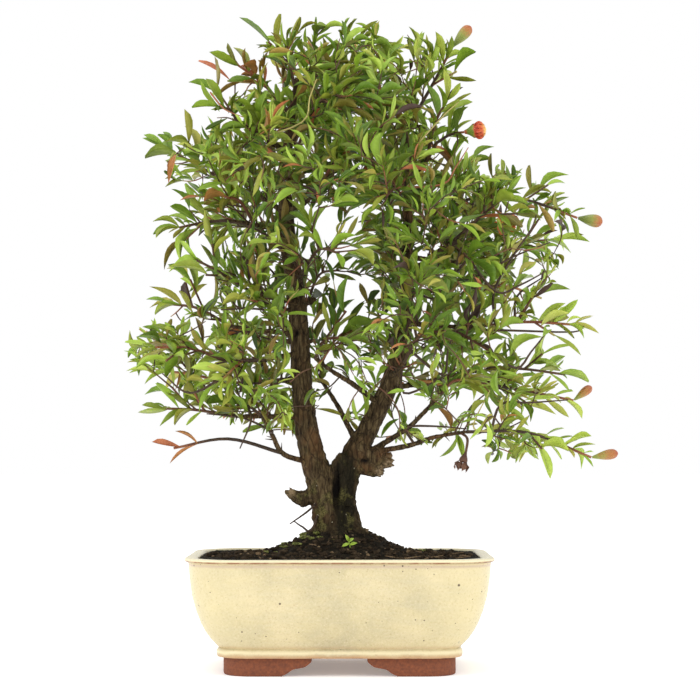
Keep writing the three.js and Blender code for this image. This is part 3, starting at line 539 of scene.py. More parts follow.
@dataclass
class Leaf:
    """Where a leaf lies, its size in millimetres, and how it is coloured."""

    base: Vector
    along: Vector
    upper: Vector
    length: float
    width: float
    tone: float = 0.5
    blush: float = 0.0

    BALLS = ((0.32, 0.34), (0.5, 0.44), (0.68, 0.34), (0.86, 0.18), (1, 0.06))
    HALF_THICKNESS = 0.35

    def balls(self, owner: object, slack: float = 1.0) -> list[Ball]:
        """Gives the balls that stand for the leaf.

        Args:
            owner: The spray that holds the leaf.
            slack: Share of their size that the balls are given.

        Returns:
            The balls, from the stalk to the tip.
        """
        balls = []
        for share, part in self.BALLS:
            radius = (part * self.width + self.HALF_THICKNESS) * slack
            balls.append(Ball(self.base + self.along * (share * self.length), radius, owner, True))
        return balls

    def matrix(self) -> Matrix:
        """Gives the matrix that takes a leaf of unit size to its place."""
        side = self.along.cross(self.upper)
        columns = (side * self.width, self.along * self.length, self.upper * self.length, self.base)
        rows = [[column[axis] for column in columns] for axis in range(3)]
        return Matrix([*rows, [0, 0, 0, 1]])


def make_leaf(base: Vector, along: Vector, face: Vector, length: float, width: float) -> Leaf:
    """Gives a leaf whose upper side looks as nearly as it can the way that face gives."""
    return Leaf(base, along, square_to(face, along), length, width)


# ---- How the sprays grow ----


@dataclass
class Leafage:
    """What has grown on a spray's main twig, or on a stretch of old wood."""

    number: int
    main: Stem
    spray: Optional[Spray] = None
    place: str = ""
    sides: list[Stem] = field(default_factory=list)
    fine: list[Stem] = field(default_factory=list)
    leaves: list[Leaf] = field(default_factory=list)

    def name(self) -> str:
        """Gives a spray's own name: its limb, and a letter where the limb carries several."""
        carried = [number for number, other in enumerate(SPRAYS) if other.wood == self.spray.wood]
        letter = f"_{'ab'[carried.index(self.number)]}" if len(carried) > 1 else ""
        return f"{self.spray.wood}{letter}"


FIRST_FILLING = 2000  # the twigs that fill the crown are numbered from here

Slot = tuple[Stem, float, bool, bool]  # twig, share, whether last, whether opposite
Perches = list[tuple[Stem, float]]


@dataclass
class Growth:
    """Grows the sprays: first the solids' own twigs and leaves, then the finer ones between them."""

    blade_length: float = 25
    blade_width: float = 6.8
    slimmer: float = 0.76
    least_leaf: float = 10
    most_leaf: float = 24
    twig_spacing: float = 9
    twig_shoot: float = 27
    limb_spacing: float = 8.5
    limb_shoot: float = 32
    limb_bare: dict = field(default_factory=lambda: {"low_left": 0.75, "bud_right": 0.85, "low_right": 0.6})
    trunk_spacing: float = 9.5
    trunk_shoot: float = 36
    trunk_bare: float = 0.45
    node_spacing: float = 7.2
    crown_depth: float = 116
    edge: float = 2.0
    feather: float = 0.62
    square: float = 12
    thin_layers: float = 0.43
    clumping: float = 0.75
    bare_side: float = 8.5
    bare_rise: float = 5
    bare_steps: int = 12
    fill_low: Triple = (-158, -110, 150)
    fill_high: Triple = (180, 110, 466)
    fill_tries: int = 7000
    fill_batch: int = 30
    fill_reach: float = 66
    fill_gap: float = 5
    perch_spacing: float = 7
    perch_choice: int = 8
    least_way: float = 9
    low_top: float = 232
    middle_top: float = 300
    space: Space = field(default_factory=Space)
    layers: dict = field(default_factory=dict)

    def __post_init__(self) -> None:
        """Finds the stretches of the trunks that leaves don't hide."""
        spans = (("left_trunk", 0.32, 0.60), ("right_trunk", 0.32, 0.50))
        self.bare_wood = [WOOD[name].at(first + (last - first) * step / self.bare_steps)
                          for name, first, last in spans for step in range(self.bare_steps + 1)]

    def main_twig(self, spray: Spray, number: int) -> Stem:
        """Gives the twig that runs the length of a spray.

        Args:
            spray: The spray.
            number: The spray's number.

        Returns:
            The twig.
        """
        wood = WOOD[spray.wood]
        start = wood.at(min(spray.at, 0.98))
        tip = Vector(spray.tip)
        reach = (tip - start).length
        end = tip if spray.flower else tip.lerp(start, min(self.blade_length * 0.62 / reach, 0.4))
        along = (end - start).normalized()
        sway = round_about(along, draw(number, 1) * 2 * math.pi)
        middle = start.lerp(end, 0.5) + UP * (0.07 * reach) + sway * (0.05 * reach)
        thick = min(1.4, wood.radius(spray.at) * 0.85)
        return Stem([start, middle, end], [thick, 0.85], 4, 2)

    def side_twig(self, plan: Leafage, order: int, share: float) -> Optional[Stem]:
        """Gives one of the solids' side twigs, or nothing where there is no room for it.

        Args:
            plan: The spray.
            order: Which one it is, counted on the spray.
            share: How far along, as a share of the length.

        Returns:
            The twig or nothing.
        """
        main, number = plan.main, plan.number
        start, axis = main.inside(share), main.direction(share)
        length = 17 + 11 * draw(number, order, 2)
        for attempt in range(4):
            outward = main.facing(share, number + order + attempt)
            heading = (axis * 0.62 + outward * 0.78 + UP * 0.14).normalized()
            stem = Stem([start, start + heading * length], [0.8, 0.8], 3, 1)
            if self.space.takes(stem_balls(stem, number, 0.12)):
                return stem
        return None

    def slots(self, plan: Leafage) -> list[Slot]:
        """Gives where the solids' leaves may grow: twig, share, whether last, whether opposite.

        Args:
            plan: The spray.

        Returns:
            The slots, in the order in which they are filled.
        """
        main, sides = plan.main, plan.sides
        found = [] if plan.spray.flower else [(main, 0.93, True, False)]
        found += [(twig, 0.9, True, False) for twig in sides]
        for opposite in (False, True):
            for on_main, on_side in ((0.78, 0.6), (0.62, 0.3), (0.46, 0.75), (0.3, 0.45)):
                if on_main > plan.spray.bare:
                    found.append((main, on_main, False, opposite))
                found += [(twig, on_side, False, opposite) for twig in sides]
        return found

    def solid_leaf(self, slot: Slot, number: int, order: int) -> Optional[Leaf]:
        """Gives the solids' leaf at a slot, turned round its twig until it has room, or nothing.

        Args:
            slot: Where it may grow.
            number: The spray's number.
            order: Which one it is, counted on the spray.

        Returns:
            The leaf or nothing.
        """
        twig, share, last, opposite = slot
        axis = twig.direction(share)
        across = twig.sides // 2 if opposite else 0
        turn = math.floor(share * 7 + 0.5)
        for attempt in range(9):
            outward = twig.facing(share, number + turn + across + attempt)
            lean = 0.5 if last else 0.95 + 0.25 * draw(number, order, 3)
            heading = (axis + outward * lean + UP * 0.12).normalized()
            tilt = round_about(heading, 2 * math.pi * draw(number, order, 4))
            size = (0.82 + 0.36 * draw(number, order, 5)) * (0.8 if attempt > 5 else 1)
            face = UP + tilt * 0.55 + axis * 0.25
            length, width = self.blade_length * size, self.blade_width * size
            leaf = make_leaf(twig.inside(share), heading, face, length, width)
            if self.space.takes(leaf.balls(number)):
                return leaf
        return None

    def flower_balls(self, plans: list[Leafage]) -> list[Ball]:
        """Gives the balls that keep leaves off the flowers.

        Args:
            plans: The sprays.

        Returns:
            The balls.
        """
        balls = []
        ends = {plan.spray.flower: plan.main.at(1) for plan in plans}
        for flower in FLOWERS:
            toward = Vector(flower.toward).normalized()
            hanging = bool(flower.limb)
            base = Vector(flower.base) if hanging else ends[flower.node]
            radius = flower.length * 0.7 if hanging else max(flower.length * 0.5, flower.girth * 1.2)
            balls.append(Ball(base + toward * (flower.length / 2), radius, "flower", False))
            if hanging:
                balls.append(Ball(Vector(flower.bend), 4, "flower", False))
        return balls

    def solids(self) -> list[Leafage]:
        """Lays out the twigs and leaves that the solids have.

        Returns:
            The sprays, in the order of the plan.
        """
        plans = [Leafage(number, self.main_twig(spray, number), spray) for number, spray in enumerate(SPRAYS)]
        for stem in [*WOOD.values(), *STUB_STEMS]:
            self.space.add(stem_balls(stem, "wood"))
        for plan in plans:
            self.space.add(stem_balls(plan.main, plan.number))
        self.space.add(self.flower_balls(plans))
        for plan in plans:
            shares = (0.6, 0.4) if plan.spray.leaves > 7 else (0.5,) if plan.spray.leaves > 5 else ()
            grown = [self.side_twig(plan, order, share) for order, share in enumerate(shares)]
            plan.sides = [stem for stem in grown if stem]
        for plan in plans:
            for order, slot in enumerate(self.slots(plan)):
                if len(plan.leaves) >= plan.spray.leaves:
                    break
                leaf = self.solid_leaf(slot, plan.number, order)
                if leaf:
                    leaf.width *= self.slimmer * (1 - 0.35 * plan.spray.bare)
                    plan.leaves.append(leaf)
                    self.count_leaf(leaf)
        return plans

    def in_reach(self, place: Vector) -> bool:
        """Says whether a place lies within the solids' box."""
        low, high = LIMITS
        return all(low[axis] - self.edge <= place[axis] <= high[axis] + self.edge for axis in range(3))

    @staticmethod
    def seen(place: Vector) -> Vector:
        """Gives where one sees a place from the front, in the tree's middle plane."""
        return EYE + (place - EYE) * (EYE.y / (EYE.y - place.y))

    @staticmethod
    def laid(x: float, y: float, z: float) -> Vector:
        """Gives the place at a depth that one sees at a spot of the middle plane."""
        return EYE + (Vector((x, 0, z)) - EYE) * ((EYE.y - y) / EYE.y)

    def in_gap(self, place: Vector) -> bool:
        """Says whether a place lies in a gap of the crown, or before the bare trunks.

        Args:
            place: The place.

        Returns:
            Whether it does.
        """
        spot = self.seen(place)
        if any(math.hypot(spot.x - x, spot.z - z) < radius for x, z, radius in CLEARINGS):
            return True
        return any(place.y < wood.y and abs(spot.x - wood.x) < self.bare_side
                   and abs(spot.z - wood.z) < self.bare_rise for wood in self.bare_wood)

    def cell(self, place: Vector) -> tuple[int, int]:
        """Names the small square in which one sees a place."""
        spot = self.seen(place)
        return math.floor(spot.x / self.square), math.floor(spot.z / self.square)

    def wanted(self, place: Vector) -> float:
        """Gives how many layers of leaves one should see at a place.

        Args:
            place: The place.

        Returns:
            The layers, as a number that need not be whole.
        """
        spot = self.seen(place)
        layers = self.thin_layers
        for x, z, half_width, half_height, full in FULL_PARTS:
            off = math.hypot((spot.x - x) / half_width, (spot.z - z) / half_height)
            layers = max(layers, full * clamp(2.6 - 1.8 * off))
        clumps = noise.noise(Vector((spot.x * 0.045, 7, spot.z * 0.045)))
        return layers * (1 + self.clumping * clumps)

    def is_thin(self, place: Vector) -> bool:
        """Says whether one sees too few leaves at a place."""
        return self.layers.get(self.cell(place), 0) < self.wanted(place)

    def count_leaf(self, leaf: Leaf) -> None:
        """Adds a leaf to the layers that one sees where it lies.

        Args:
            leaf: The leaf.
        """
        view = (leaf.base - EYE).normalized()
        side = leaf.along.cross(leaf.upper)
        area = abs(side.cross(leaf.along).dot(view)) * 0.7 + 0.15
        cell = self.cell(leaf.base + leaf.along * (leaf.length * 0.55))
        share = area * 0.68 * leaf.length * leaf.width / self.square ** 2
        self.layers[cell] = self.layers.get(cell, 0) + share

    def in_crown(self, place: Vector) -> bool:
        """Says whether a place lies within the crown's outline.

        Args:
            place: The place.

        Returns:
            Whether it does.
        """
        spot = self.seen(place)
        if not CROWN_REACHES[0][0] <= spot.z < CROWN_REACHES[-1][0]:
            return False
        after = next(index for index, step in enumerate(CROWN_REACHES) if step[0] > spot.z)
        (low, *near), (high, *far) = CROWN_REACHES[after - 1], CROWN_REACHES[after]
        share = (spot.z - low) / (high - low)
        left, right = (start + (end - start) * share for start, end in zip(near, far))
        half = (right - left) / 2
        off = (spot.x - (left + right) / 2) / half
        deep = place.y / min(self.crown_depth, half * 1.25)
        return off * off * off * off + deep * deep <= 1 - self.feather * draw(place.x, place.y, place.z) ** 2

    def shoot(self, growth: Leafage, stem: Stem, share: float, key: int, most: float) -> None:
        """Adds one fine leafy shoot to a stem, turned round it until it has room.

        Args:
            growth: What the shoot belongs to.
            stem: The stem that it grows from.
            share: How far along the stem it grows.
            key: A number that fixes its draws.
            most: Its greatest length.
        """
        number = growth.number
        start, axis = stem.at(share), stem.direction(share)
        length = most * (0.5 + 0.5 * draw(number, key, 12)) + stem.radius(share)
        clear = (stem.radius(share) + 1.2) / length
        for attempt in range(5):
            angle = key * 2.4 + attempt * 1.2 + 6 * draw(number, key, 11)
            outward = stem.around(share, angle)
            heading = (axis * 0.7 + outward * 0.85 + UP * 0.2).normalized()
            bent = (heading + UP * 0.3 * draw(number, key, 13) + axis * 0.15).normalized()
            middle = start + heading * (length * 0.5)
            end = middle + bent * (length * 0.5)
            fine = Stem([start, middle, end], [0.74, 0.56, 0.34], 5, 4)
            free = self.in_reach(end) and self.in_crown(end) and not self.in_gap(end)
            wanted = free and (self.is_thin(end) or attempt == key % 5)
            if wanted and self.space.takes(stem_balls(fine, number, clear), 0):
                growth.fine.append(fine)
                return

    def shoots(self, growth: Leafage, stem: Stem, first: float, spacing: float, most: float) -> None:
        """Adds fine shoots along a stem, shorter towards its end.

        Args:
            growth: What the shoots belong to.
            stem: The stem.
            first: Share of its length at which they begin.
            spacing: How far apart they are.
            most: The greatest length of the first ones.
        """
        count = round(stem.length() * (1 - first) / spacing)
        for order in range(count):
            share = first + (0.98 - first) * (order + 0.2 + 0.6 * draw(growth.number, order, 14)) / count
            self.shoot(growth, stem, share, order, most * (1.1 - 0.45 * share))

    def fine_leaf(self, growth: Leafage, twig: Stem, share: float, angle: float, key: int,
                  last: bool) -> None:
        """Adds one finer leaf where there is room for it.

        Args:
            growth: What the leaf belongs to.
            twig: The twig that it grows from.
            share: How far along the twig it grows.
            angle: How far round the twig it grows.
            key: A number that fixes its draws.
            last: Whether it ends the twig, and so points on.
        """
        number = growth.number
        axis, base = twig.direction(share), twig.at(share)
        length = self.least_leaf + (self.most_leaf - self.least_leaf) * draw(number, key, 21) ** 1.3
        for attempt in range(5):
            outward = twig.around(share, angle + attempt * 0.75)
            lean = 0.25 + 0.4 * draw(number, key, 22) if last else 0.6 + 0.7 * draw(number, key, 23)
            heading = (axis + outward * lean + UP * 0.12).normalized()
            tilt = round_about(heading, 2 * math.pi * draw(number, key, 24))
            face = UP + tilt * 0.85 + axis * 0.2
            width = length * (0.118 + 0.12 * draw(number, key, 25))
            leaf = make_leaf(base, heading, face, length * (1 - 0.06 * attempt), width)
            tip, middle = base + heading * leaf.length, base + heading * (leaf.length * 0.6)
            outlined = growth.spray and twig is growth.main or self.in_crown(middle)
            free = outlined and self.is_thin(middle) and self.in_reach(tip) and not self.in_gap(tip)
            if free and self.space.takes(leaf.balls(number, 0.6), 0):
                growth.leaves.append(leaf)
                self.count_leaf(leaf)
                return

    def dress_twig(self, growth: Leafage, twig: Stem, start: float, key: int, ends: bool) -> None:
        """Adds the finer leaves of one twig, in pairs that turn a quarter from node to node.

        Args:
            growth: What the leaves belong to.
            twig: The twig.
            start: Share of its length at which its leaves begin.
            key: A number that fixes its draws.
            ends: Whether leaves end the twig.
        """
        nodes = max(round(twig.length() * (1 - start) / self.node_spacing), 1)
        for node in range(nodes):
            share = start + (0.96 - start) * (node + 0.5) / nodes
            turn = node * math.pi / 2 + 6 * draw(growth.number, key, 31)
            for pair in range(2):
                self.fine_leaf(growth, twig, share, turn + pair * math.pi, key * 100 + node * 2 + pair, False)
        for end in range(3 if ends else 0):
            self.fine_leaf(growth, twig, 0.99, end * 2.1, key * 100 + 80 + end, True)

    def dress(self, growth: Leafage) -> None:
        """Adds the finer leaves of a spray or of a stretch of old wood.

        Args:
            growth: What has grown.
        """
        twigs = [(twig, 0.25) for twig in [*growth.sides, *growth.fine]]
        if growth.spray and growth.spray.bare < 0.5:
            twigs.append((growth.main, max(0.2, growth.spray.bare)))
        for key, (twig, start) in enumerate(twigs):
            flowering = growth.spray and growth.spray.flower and twig is growth.main
            self.dress_twig(growth, twig, start, key, not flowering)

    def bare_part(self, name: str) -> float:
        """Gives the share of a trunk's or a limb's length on which no shoots grow."""
        return self.trunk_bare if name in TRUNKS else self.limb_bare.get(name, 0.3)

    def inner(self) -> list[Leafage]:
        """Lays out the shoots on the limbs and on the upper trunks, in a few groups.

        Returns:
            The groups.
        """
        groups = []
        for name, stem in WOOD.items():
            trunk = name in TRUNKS
            growth = Leafage(len(SPRAYS) + len(groups), stem)
            growth.place = self.group_name(stem.at(0.6 if trunk else 0))
            spacing = self.trunk_spacing if trunk else self.limb_spacing
            most = self.trunk_shoot if trunk else self.limb_shoot
            self.shoots(growth, stem, self.bare_part(name), spacing, most)
            groups.append(growth)
        return groups

    def crowded(self, place: Vector) -> bool:
        """Says whether there is anything close round a place."""
        return any((other.place - place).length < self.fill_gap + other.radius
                   for other in self.space.near(place))

    def is_open(self, place: Vector) -> bool:
        """Says whether a place in the crown is still thin and free."""
        thin = self.in_crown(place) and self.is_thin(place)
        return thin and not self.in_gap(place) and not self.crowded(place)

    def perches(self, growths: list[Leafage]) -> tuple[KDTree, Perches]:
        """Gives the places on the wood and on the twigs from which a further twig can grow.

        Args:
            growths: All that has grown so far.

        Returns:
            The places, and for each of them its stem and how far along it lies.
        """
        carriers = [(stem, self.bare_part(name)) for name, stem in WOOD.items()]
        for growth in growths:
            carriers += [(stem, 0.3) for stem in (growth.main, *growth.sides, *growth.fine)]
        spots = []
        for stem, first in carriers:
            steps = max(round(stem.length() / self.perch_spacing), 1)
            spots += [(stem, first + (0.95 - first) * step / steps) for step in range(steps + 1)]
        return tree_of([stem.at(share) for stem, share in spots]), spots

    def twig_to(self, target: Vector, tree: KDTree, spots: Perches, key: int) -> Optional[Stem]:
        """Gives a fine twig from the best of the nearest perches to a place.

        Args:
            target: Where the twig ends.
            tree: The perches' places.
            spots: Their stems.
            key: A number that fixes its draws.

        Returns:
            The twig, or nothing where the place is out of reach.
        """
        best, least = None, self.fill_reach
        for place, index, away in tree.find_n(target, self.perch_choice):
            stem, share = spots[index]
            heading = (target - place).normalized()
            turned = heading.dot(stem.direction(share))
            cost = away * (1.3 - 0.4 * turned - 0.25 * heading.z)
            if away > self.least_way and turned > -0.3 and cost < least:
                best, least = (stem, share, place), cost
        if not best:
            return None
        stem, share, place = best
        way = target - place
        sideways = round_about(way.normalized(), 6.3 * draw(key, 91)) * 0.09
        bow = sideways + UP * (0.1 * draw(key, 92) - 0.03)
        middle = place + way * 0.5 + bow * way.length
        thick = min(0.5 + 0.007 * way.length, stem.radius(share))
        return Stem([place, middle, target], [thick, 0.5, 0.3], 5, 5)

    def fill(self, growths: list[Leafage]) -> list[Leafage]:
        """Sends fine twigs to the places in the crown that are still empty.

        Args:
            growths: All that has grown so far.

        Returns:
            The new growth, one twig each.
        """
        added: list[Leafage] = []
        box = list(zip(self.fill_low, self.fill_high))
        tree, spots = self.perches(growths)
        for order in range(self.fill_tries):
            lots = [draw(order, axis, 93) for axis in range(3)]
            target = Vector([low + (high - low) * lot for (low, high), lot in zip(box, lots)])
            twig = self.twig_to(target, tree, spots, order) if self.is_open(target) else None
            if not twig:
                continue
            growth = Leafage(FIRST_FILLING + order, twig, place=self.group_name(target))
            self.space.add(stem_balls(twig, growth.number, 0.2))
            self.dress_twig(growth, twig, 0.35, 0, True)
            added.append(growth)
            if len(added) % self.fill_batch == 0:
                tree, spots = self.perches([*growths, *added])
        return added

    def group_name(self, place: Vector) -> str:
        """Names the part of the crown that holds a place."""
        side = "left" if place.x < 0 else "right"
        level = "low" if place.z < self.low_top else "middle" if place.z < self.middle_top else "high"
        return f"{side}_{level}"

    def grow(self) -> tuple[list[Leafage], list[Leafage]]:
        """Grows all the foliage.

        Returns:
            The sprays and the growth on old wood, with their twigs and coloured leaves.
        """
        sprays = self.solids()
        for growth in sprays:
            self.shoots(growth, growth.main, max(0.1, growth.spray.bare), self.twig_spacing, self.twig_shoot)
        inner = self.inner()
        for growth in [*sprays, *inner]:
            self.dress(growth)
        filled = self.fill([*sprays, *inner])
        growths = [*sprays, *inner, *filled]
        for growth in growths:
            Colouring().paint(growth)
        Colouring().accent(growths)
        LOG.info("twigs that fill the crown: %d", len(filled))
        return sprays, [*inner, *filled]


@dataclass(frozen=True)
class Colouring:
    """Gives every leaf its green, and some of them the red of young growth or the brown of dry."""

    heart: Triple = (5, 0, 290)
    reach: float = 190
    red_share: float = 0.018
    dry_share: float = 0.012

    def paint(self, growth: Leafage) -> None:
        """Sets the tone and blush of the leaves. Their tone is darker towards the crown's heart, partly as
        painted shade and partly because the outer leaves are paler young growth.

        Args:
            growth: What has grown.
        """
        own = draw(growth.number, 41) - 0.5
        red_share = self.red_share if not growth.spray or not growth.spray.young else 0.45 + growth.spray.bare
        for order, leaf in enumerate(growth.leaves):
            place = leaf.base + leaf.along * leaf.length
            # Darker towards the crown's heart: partly painted shade inside the crown, partly the paler young
            # growth outside.
            outer = clamp((place - Vector(self.heart)).length / self.reach)
            lot = draw(growth.number, order, 42)
            leaf.tone = clamp(0.23 + 0.48 * outer ** 1.6 + 0.3 * own + 0.56 * (lot - 0.5))
            leaf.blush = 0.05 + 0.16 * draw(growth.number, order, 44) ** 3
            chance = draw(growth.number, order, 43)
            if chance < red_share:
                leaf.blush = 0.2 + 0.28 * lot
            elif chance > 1 - self.dry_share:
                leaf.blush = 0.85

    def accent(self, growths: list[Leafage]) -> None:
        """Gives the nearest front leaf at each accent's place its blush.

        Args:
            growths: All that has grown.
        """
        spots = [(Growth.seen(leaf.base + leaf.along * (leaf.length * 0.5)), leaf.base.y, leaf)
                 for growth in growths for leaf in growth.leaves]
        for x, z, blush in ACCENTS:
            nearest = min(spots, key=lambda spot: math.hypot(spot[0].x - x, spot[0].z - z) + 0.08 * spot[1])
            nearest[2].blush = blush


POT_MIDDLE = sum(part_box("pot"), Vector((0, 0, 0))) / 2 * Vector((1, 1, 0))
LIMITS = [(corner - POT_MIDDLE) / MILLIMETRE for corner in CAD_BOX]  # the solids' box, round the pot's middle

# ---- Bringing shapes into the frame ----


def as_mesh(name: str, shape: Shape) -> Mesh:
    """Gives the mesh of a shape, which is used up.

    Args:
        name: The mesh's name.
        shape: The shape.

    Returns:
        The mesh.
    """
    mesh = bpy.data.meshes.new(name)
    shape.to_mesh(mesh)
    shape.free()
    return mesh


def put_in_scene(name: str, data: bpy.types.ID) -> Piece:
    """Gives a new object in the scene that shows a mesh, a light or a camera."""
    made = bpy.data.objects.new(name, data)
    bpy.context.scene.collection.objects.link(made)
    return made


def rotate(shape: Shape, angle: float, axis: str = "Z") -> None:
    """Turns a shape round an axis through the origin."""
    bmesh.ops.rotate(shape, verts=shape.verts, matrix=Matrix.Rotation(angle, 3, axis))


class Bench:
    """Turns finished shapes into pieces of the model."""

    def __init__(self) -> None:
        """Sets out from the pot's middle, from which all places are measured."""
        self.to_frame = Matrix.Translation(POT_MIDDLE) @ Matrix.Scale(MILLIMETRE, 4)

    def piece(self, name: str, shape: Shape, finish: Material, slot: str,
              nodes: Sequence[str] = ()) -> Piece:
        """Makes a piece of a shape in millimetres.

        Args:
            name: The piece's name.
            shape: Its shape, which is used up.
            finish: Its material.
            slot: The record's slot for its finish; it is not used.
            nodes: The solids that it stands for.

        Returns:
            The piece's object.
        """
        mesh = as_mesh(name, shape)
        mesh.transform(self.to_frame)
        mesh.materials.append(finish)
        piece = put_in_scene(name, mesh)
        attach(piece, BODY)
        if nodes:
            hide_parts(*nodes)
        mesh.calc_loop_triangles()
        LOG.info("%s: %d triangles", name, len(mesh.loop_triangles))
        return piece


def shade_smooth(shape: Shape, sharp_angle: float = math.radians(38)) -> None:
    """Shades a shape smoothly, with hard edges where its faces meet at more than an angle.

    Args:
        shape: The shape.
        sharp_angle: The least angle of a hard edge.
    """
    for face in shape.faces:
        face.smooth = True
    for edge in shape.edges:
        edge.smooth = len(edge.link_faces) == 2 and edge.calc_face_angle(0) < sharp_angle


class RingLoft:
    """A closed skin that is drawn out ring by ring from one disc."""

    def __init__(self, corners: int) -> None:
        """Starts a skin whose rings have so many corners.

        Args:
            corners: How many corners each ring has.
        """
        self.shape = bmesh.new()
        self.order = self.shape.verts.layers.int.new("order")
        bmesh.ops.create_circle(self.shape, cap_ends=True, segments=corners, radius=1)
        self.ring = list(self.shape.verts)
        for index, corner in enumerate(self.ring):
            corner[self.order] = index
        self.rim = list(self.shape.edges)

    def place(self, places: Sequence[Vector]) -> None:
        """Moves the newest ring's corners to their places."""
        for corner in self.ring:
            corner.co = places[corner[self.order]]

    def draw_out(self, places: Sequence[Vector]) -> None:
        """Extrudes one more ring and moves its corners to their places.

        Args:
            places: The new corners' places.
        """
        drawn = bmesh.ops.extrude_edge_only(self.shape, edges=self.rim)["geom"]
        self.ring = [part for part in drawn if isinstance(part, bmesh.types.BMVert)]
        new = set(self.ring)
        edges = (part for part in drawn if isinstance(part, bmesh.types.BMEdge))
        self.rim = [edge for edge in edges if edge.verts[0] in new and edge.verts[1] in new]
        self.place(places)

    def close(self) -> Shape:
        """Closes the newest ring with a face and turns all the faces outward.

        Returns:
            The finished shape.
        """
        bmesh.ops.contextual_create(self.shape, geom=self.rim)
        bmesh.ops.recalc_face_normals(self.shape, faces=self.shape.faces)
        return self.shape


def loft(rings: Sequence[Sequence[Vector]]) -> Shape:
    """Gives the closed shape that runs through rings of points.

    Args:
        rings: The rings, with the same number of points each.

    Returns:
        The shape.
    """
    skin = RingLoft(len(rings[0]))
    skin.place(rings[0])
    for ring in rings[1:]:
        skin.draw_out(ring)
    return skin.close()


def tube(stem: Stem, sides: int, rings: int, ripple: Optional[Callable] = None) -> Shape:
    """Gives a tapered tube along a stem.

    Args:
        stem: The stem.
        sides: Sides of the tube.
        rings: Lengths that it is made of.
        ripple: Gives how much wider it is at a share of its length and an angle, as a factor.

    Returns:
        The closed tube.
    """
    drawn = []
    for ring in range(rings + 1):
        share = ring / rings
        middle, radius = stem.at(share), stem.radius(share)
        corners = []
        for side in range(sides):
            angle = 2 * math.pi * side / sides
            reach = radius * (ripple(share, angle) if ripple else 1)
            corners.append(middle + stem.around(share, angle) * reach)
        drawn.append(corners)
    return loft(drawn)


def append(target: Shape, source: Shape) -> list[bmesh.types.BMVert]:
    """Adds one shape to another.

    Args:
        target: The shape that grows.
        source: The shape that is added, and used up.

    Returns:
        The new vertices.
    """
    before = len(target.verts)
    mesh = as_mesh("loose", source)
    target.from_mesh(mesh)
    bpy.data.meshes.remove(mesh)
    target.verts.ensure_lookup_table()
    return target.verts[before:]


def evaluated(shape: Shape, build: Callable[[Piece], None]) -> Shape:
    """Puts a shape through modifiers and gives the result.

    Args:
        shape: The shape, which is used up.
        build: Adds the modifiers to the object that it is given.

    Returns:
        The changed shape.
    """
    mesh = as_mesh("worked", shape)
    worked = put_in_scene("worked", mesh)
    build(worked)
    graph = bpy.context.evaluated_depsgraph_get()
    graph.update()
    result = bmesh.new()
    result.from_mesh(worked.evaluated_get(graph).to_mesh())
    bpy.data.objects.remove(worked)
    bpy.data.meshes.remove(mesh)
    return result


def carve(shape: Shape, tool: Shape, operation: str) -> Shape:
    """Cuts one closed shape by another, or joins the two.

    Args:
        shape: The shape that is changed.
        tool: The other shape.
        operation: DIFFERENCE or UNION.

    Returns:
        The changed shape.
    """
    mesh = as_mesh("tool", tool)
    helper = put_in_scene("tool", mesh)

    def build(worked: Piece) -> None:
        """Adds the Boolean."""
        modifier = worked.modifiers.new("carve", "BOOLEAN")
        modifier.operation, modifier.object, modifier.solver = operation, helper, "EXACT"

    result = evaluated(shape, build)
    bpy.data.objects.remove(helper)
    bpy.data.meshes.remove(mesh)
    return result


# ---- Finishes ----


SHADER = "Principled BSDF"


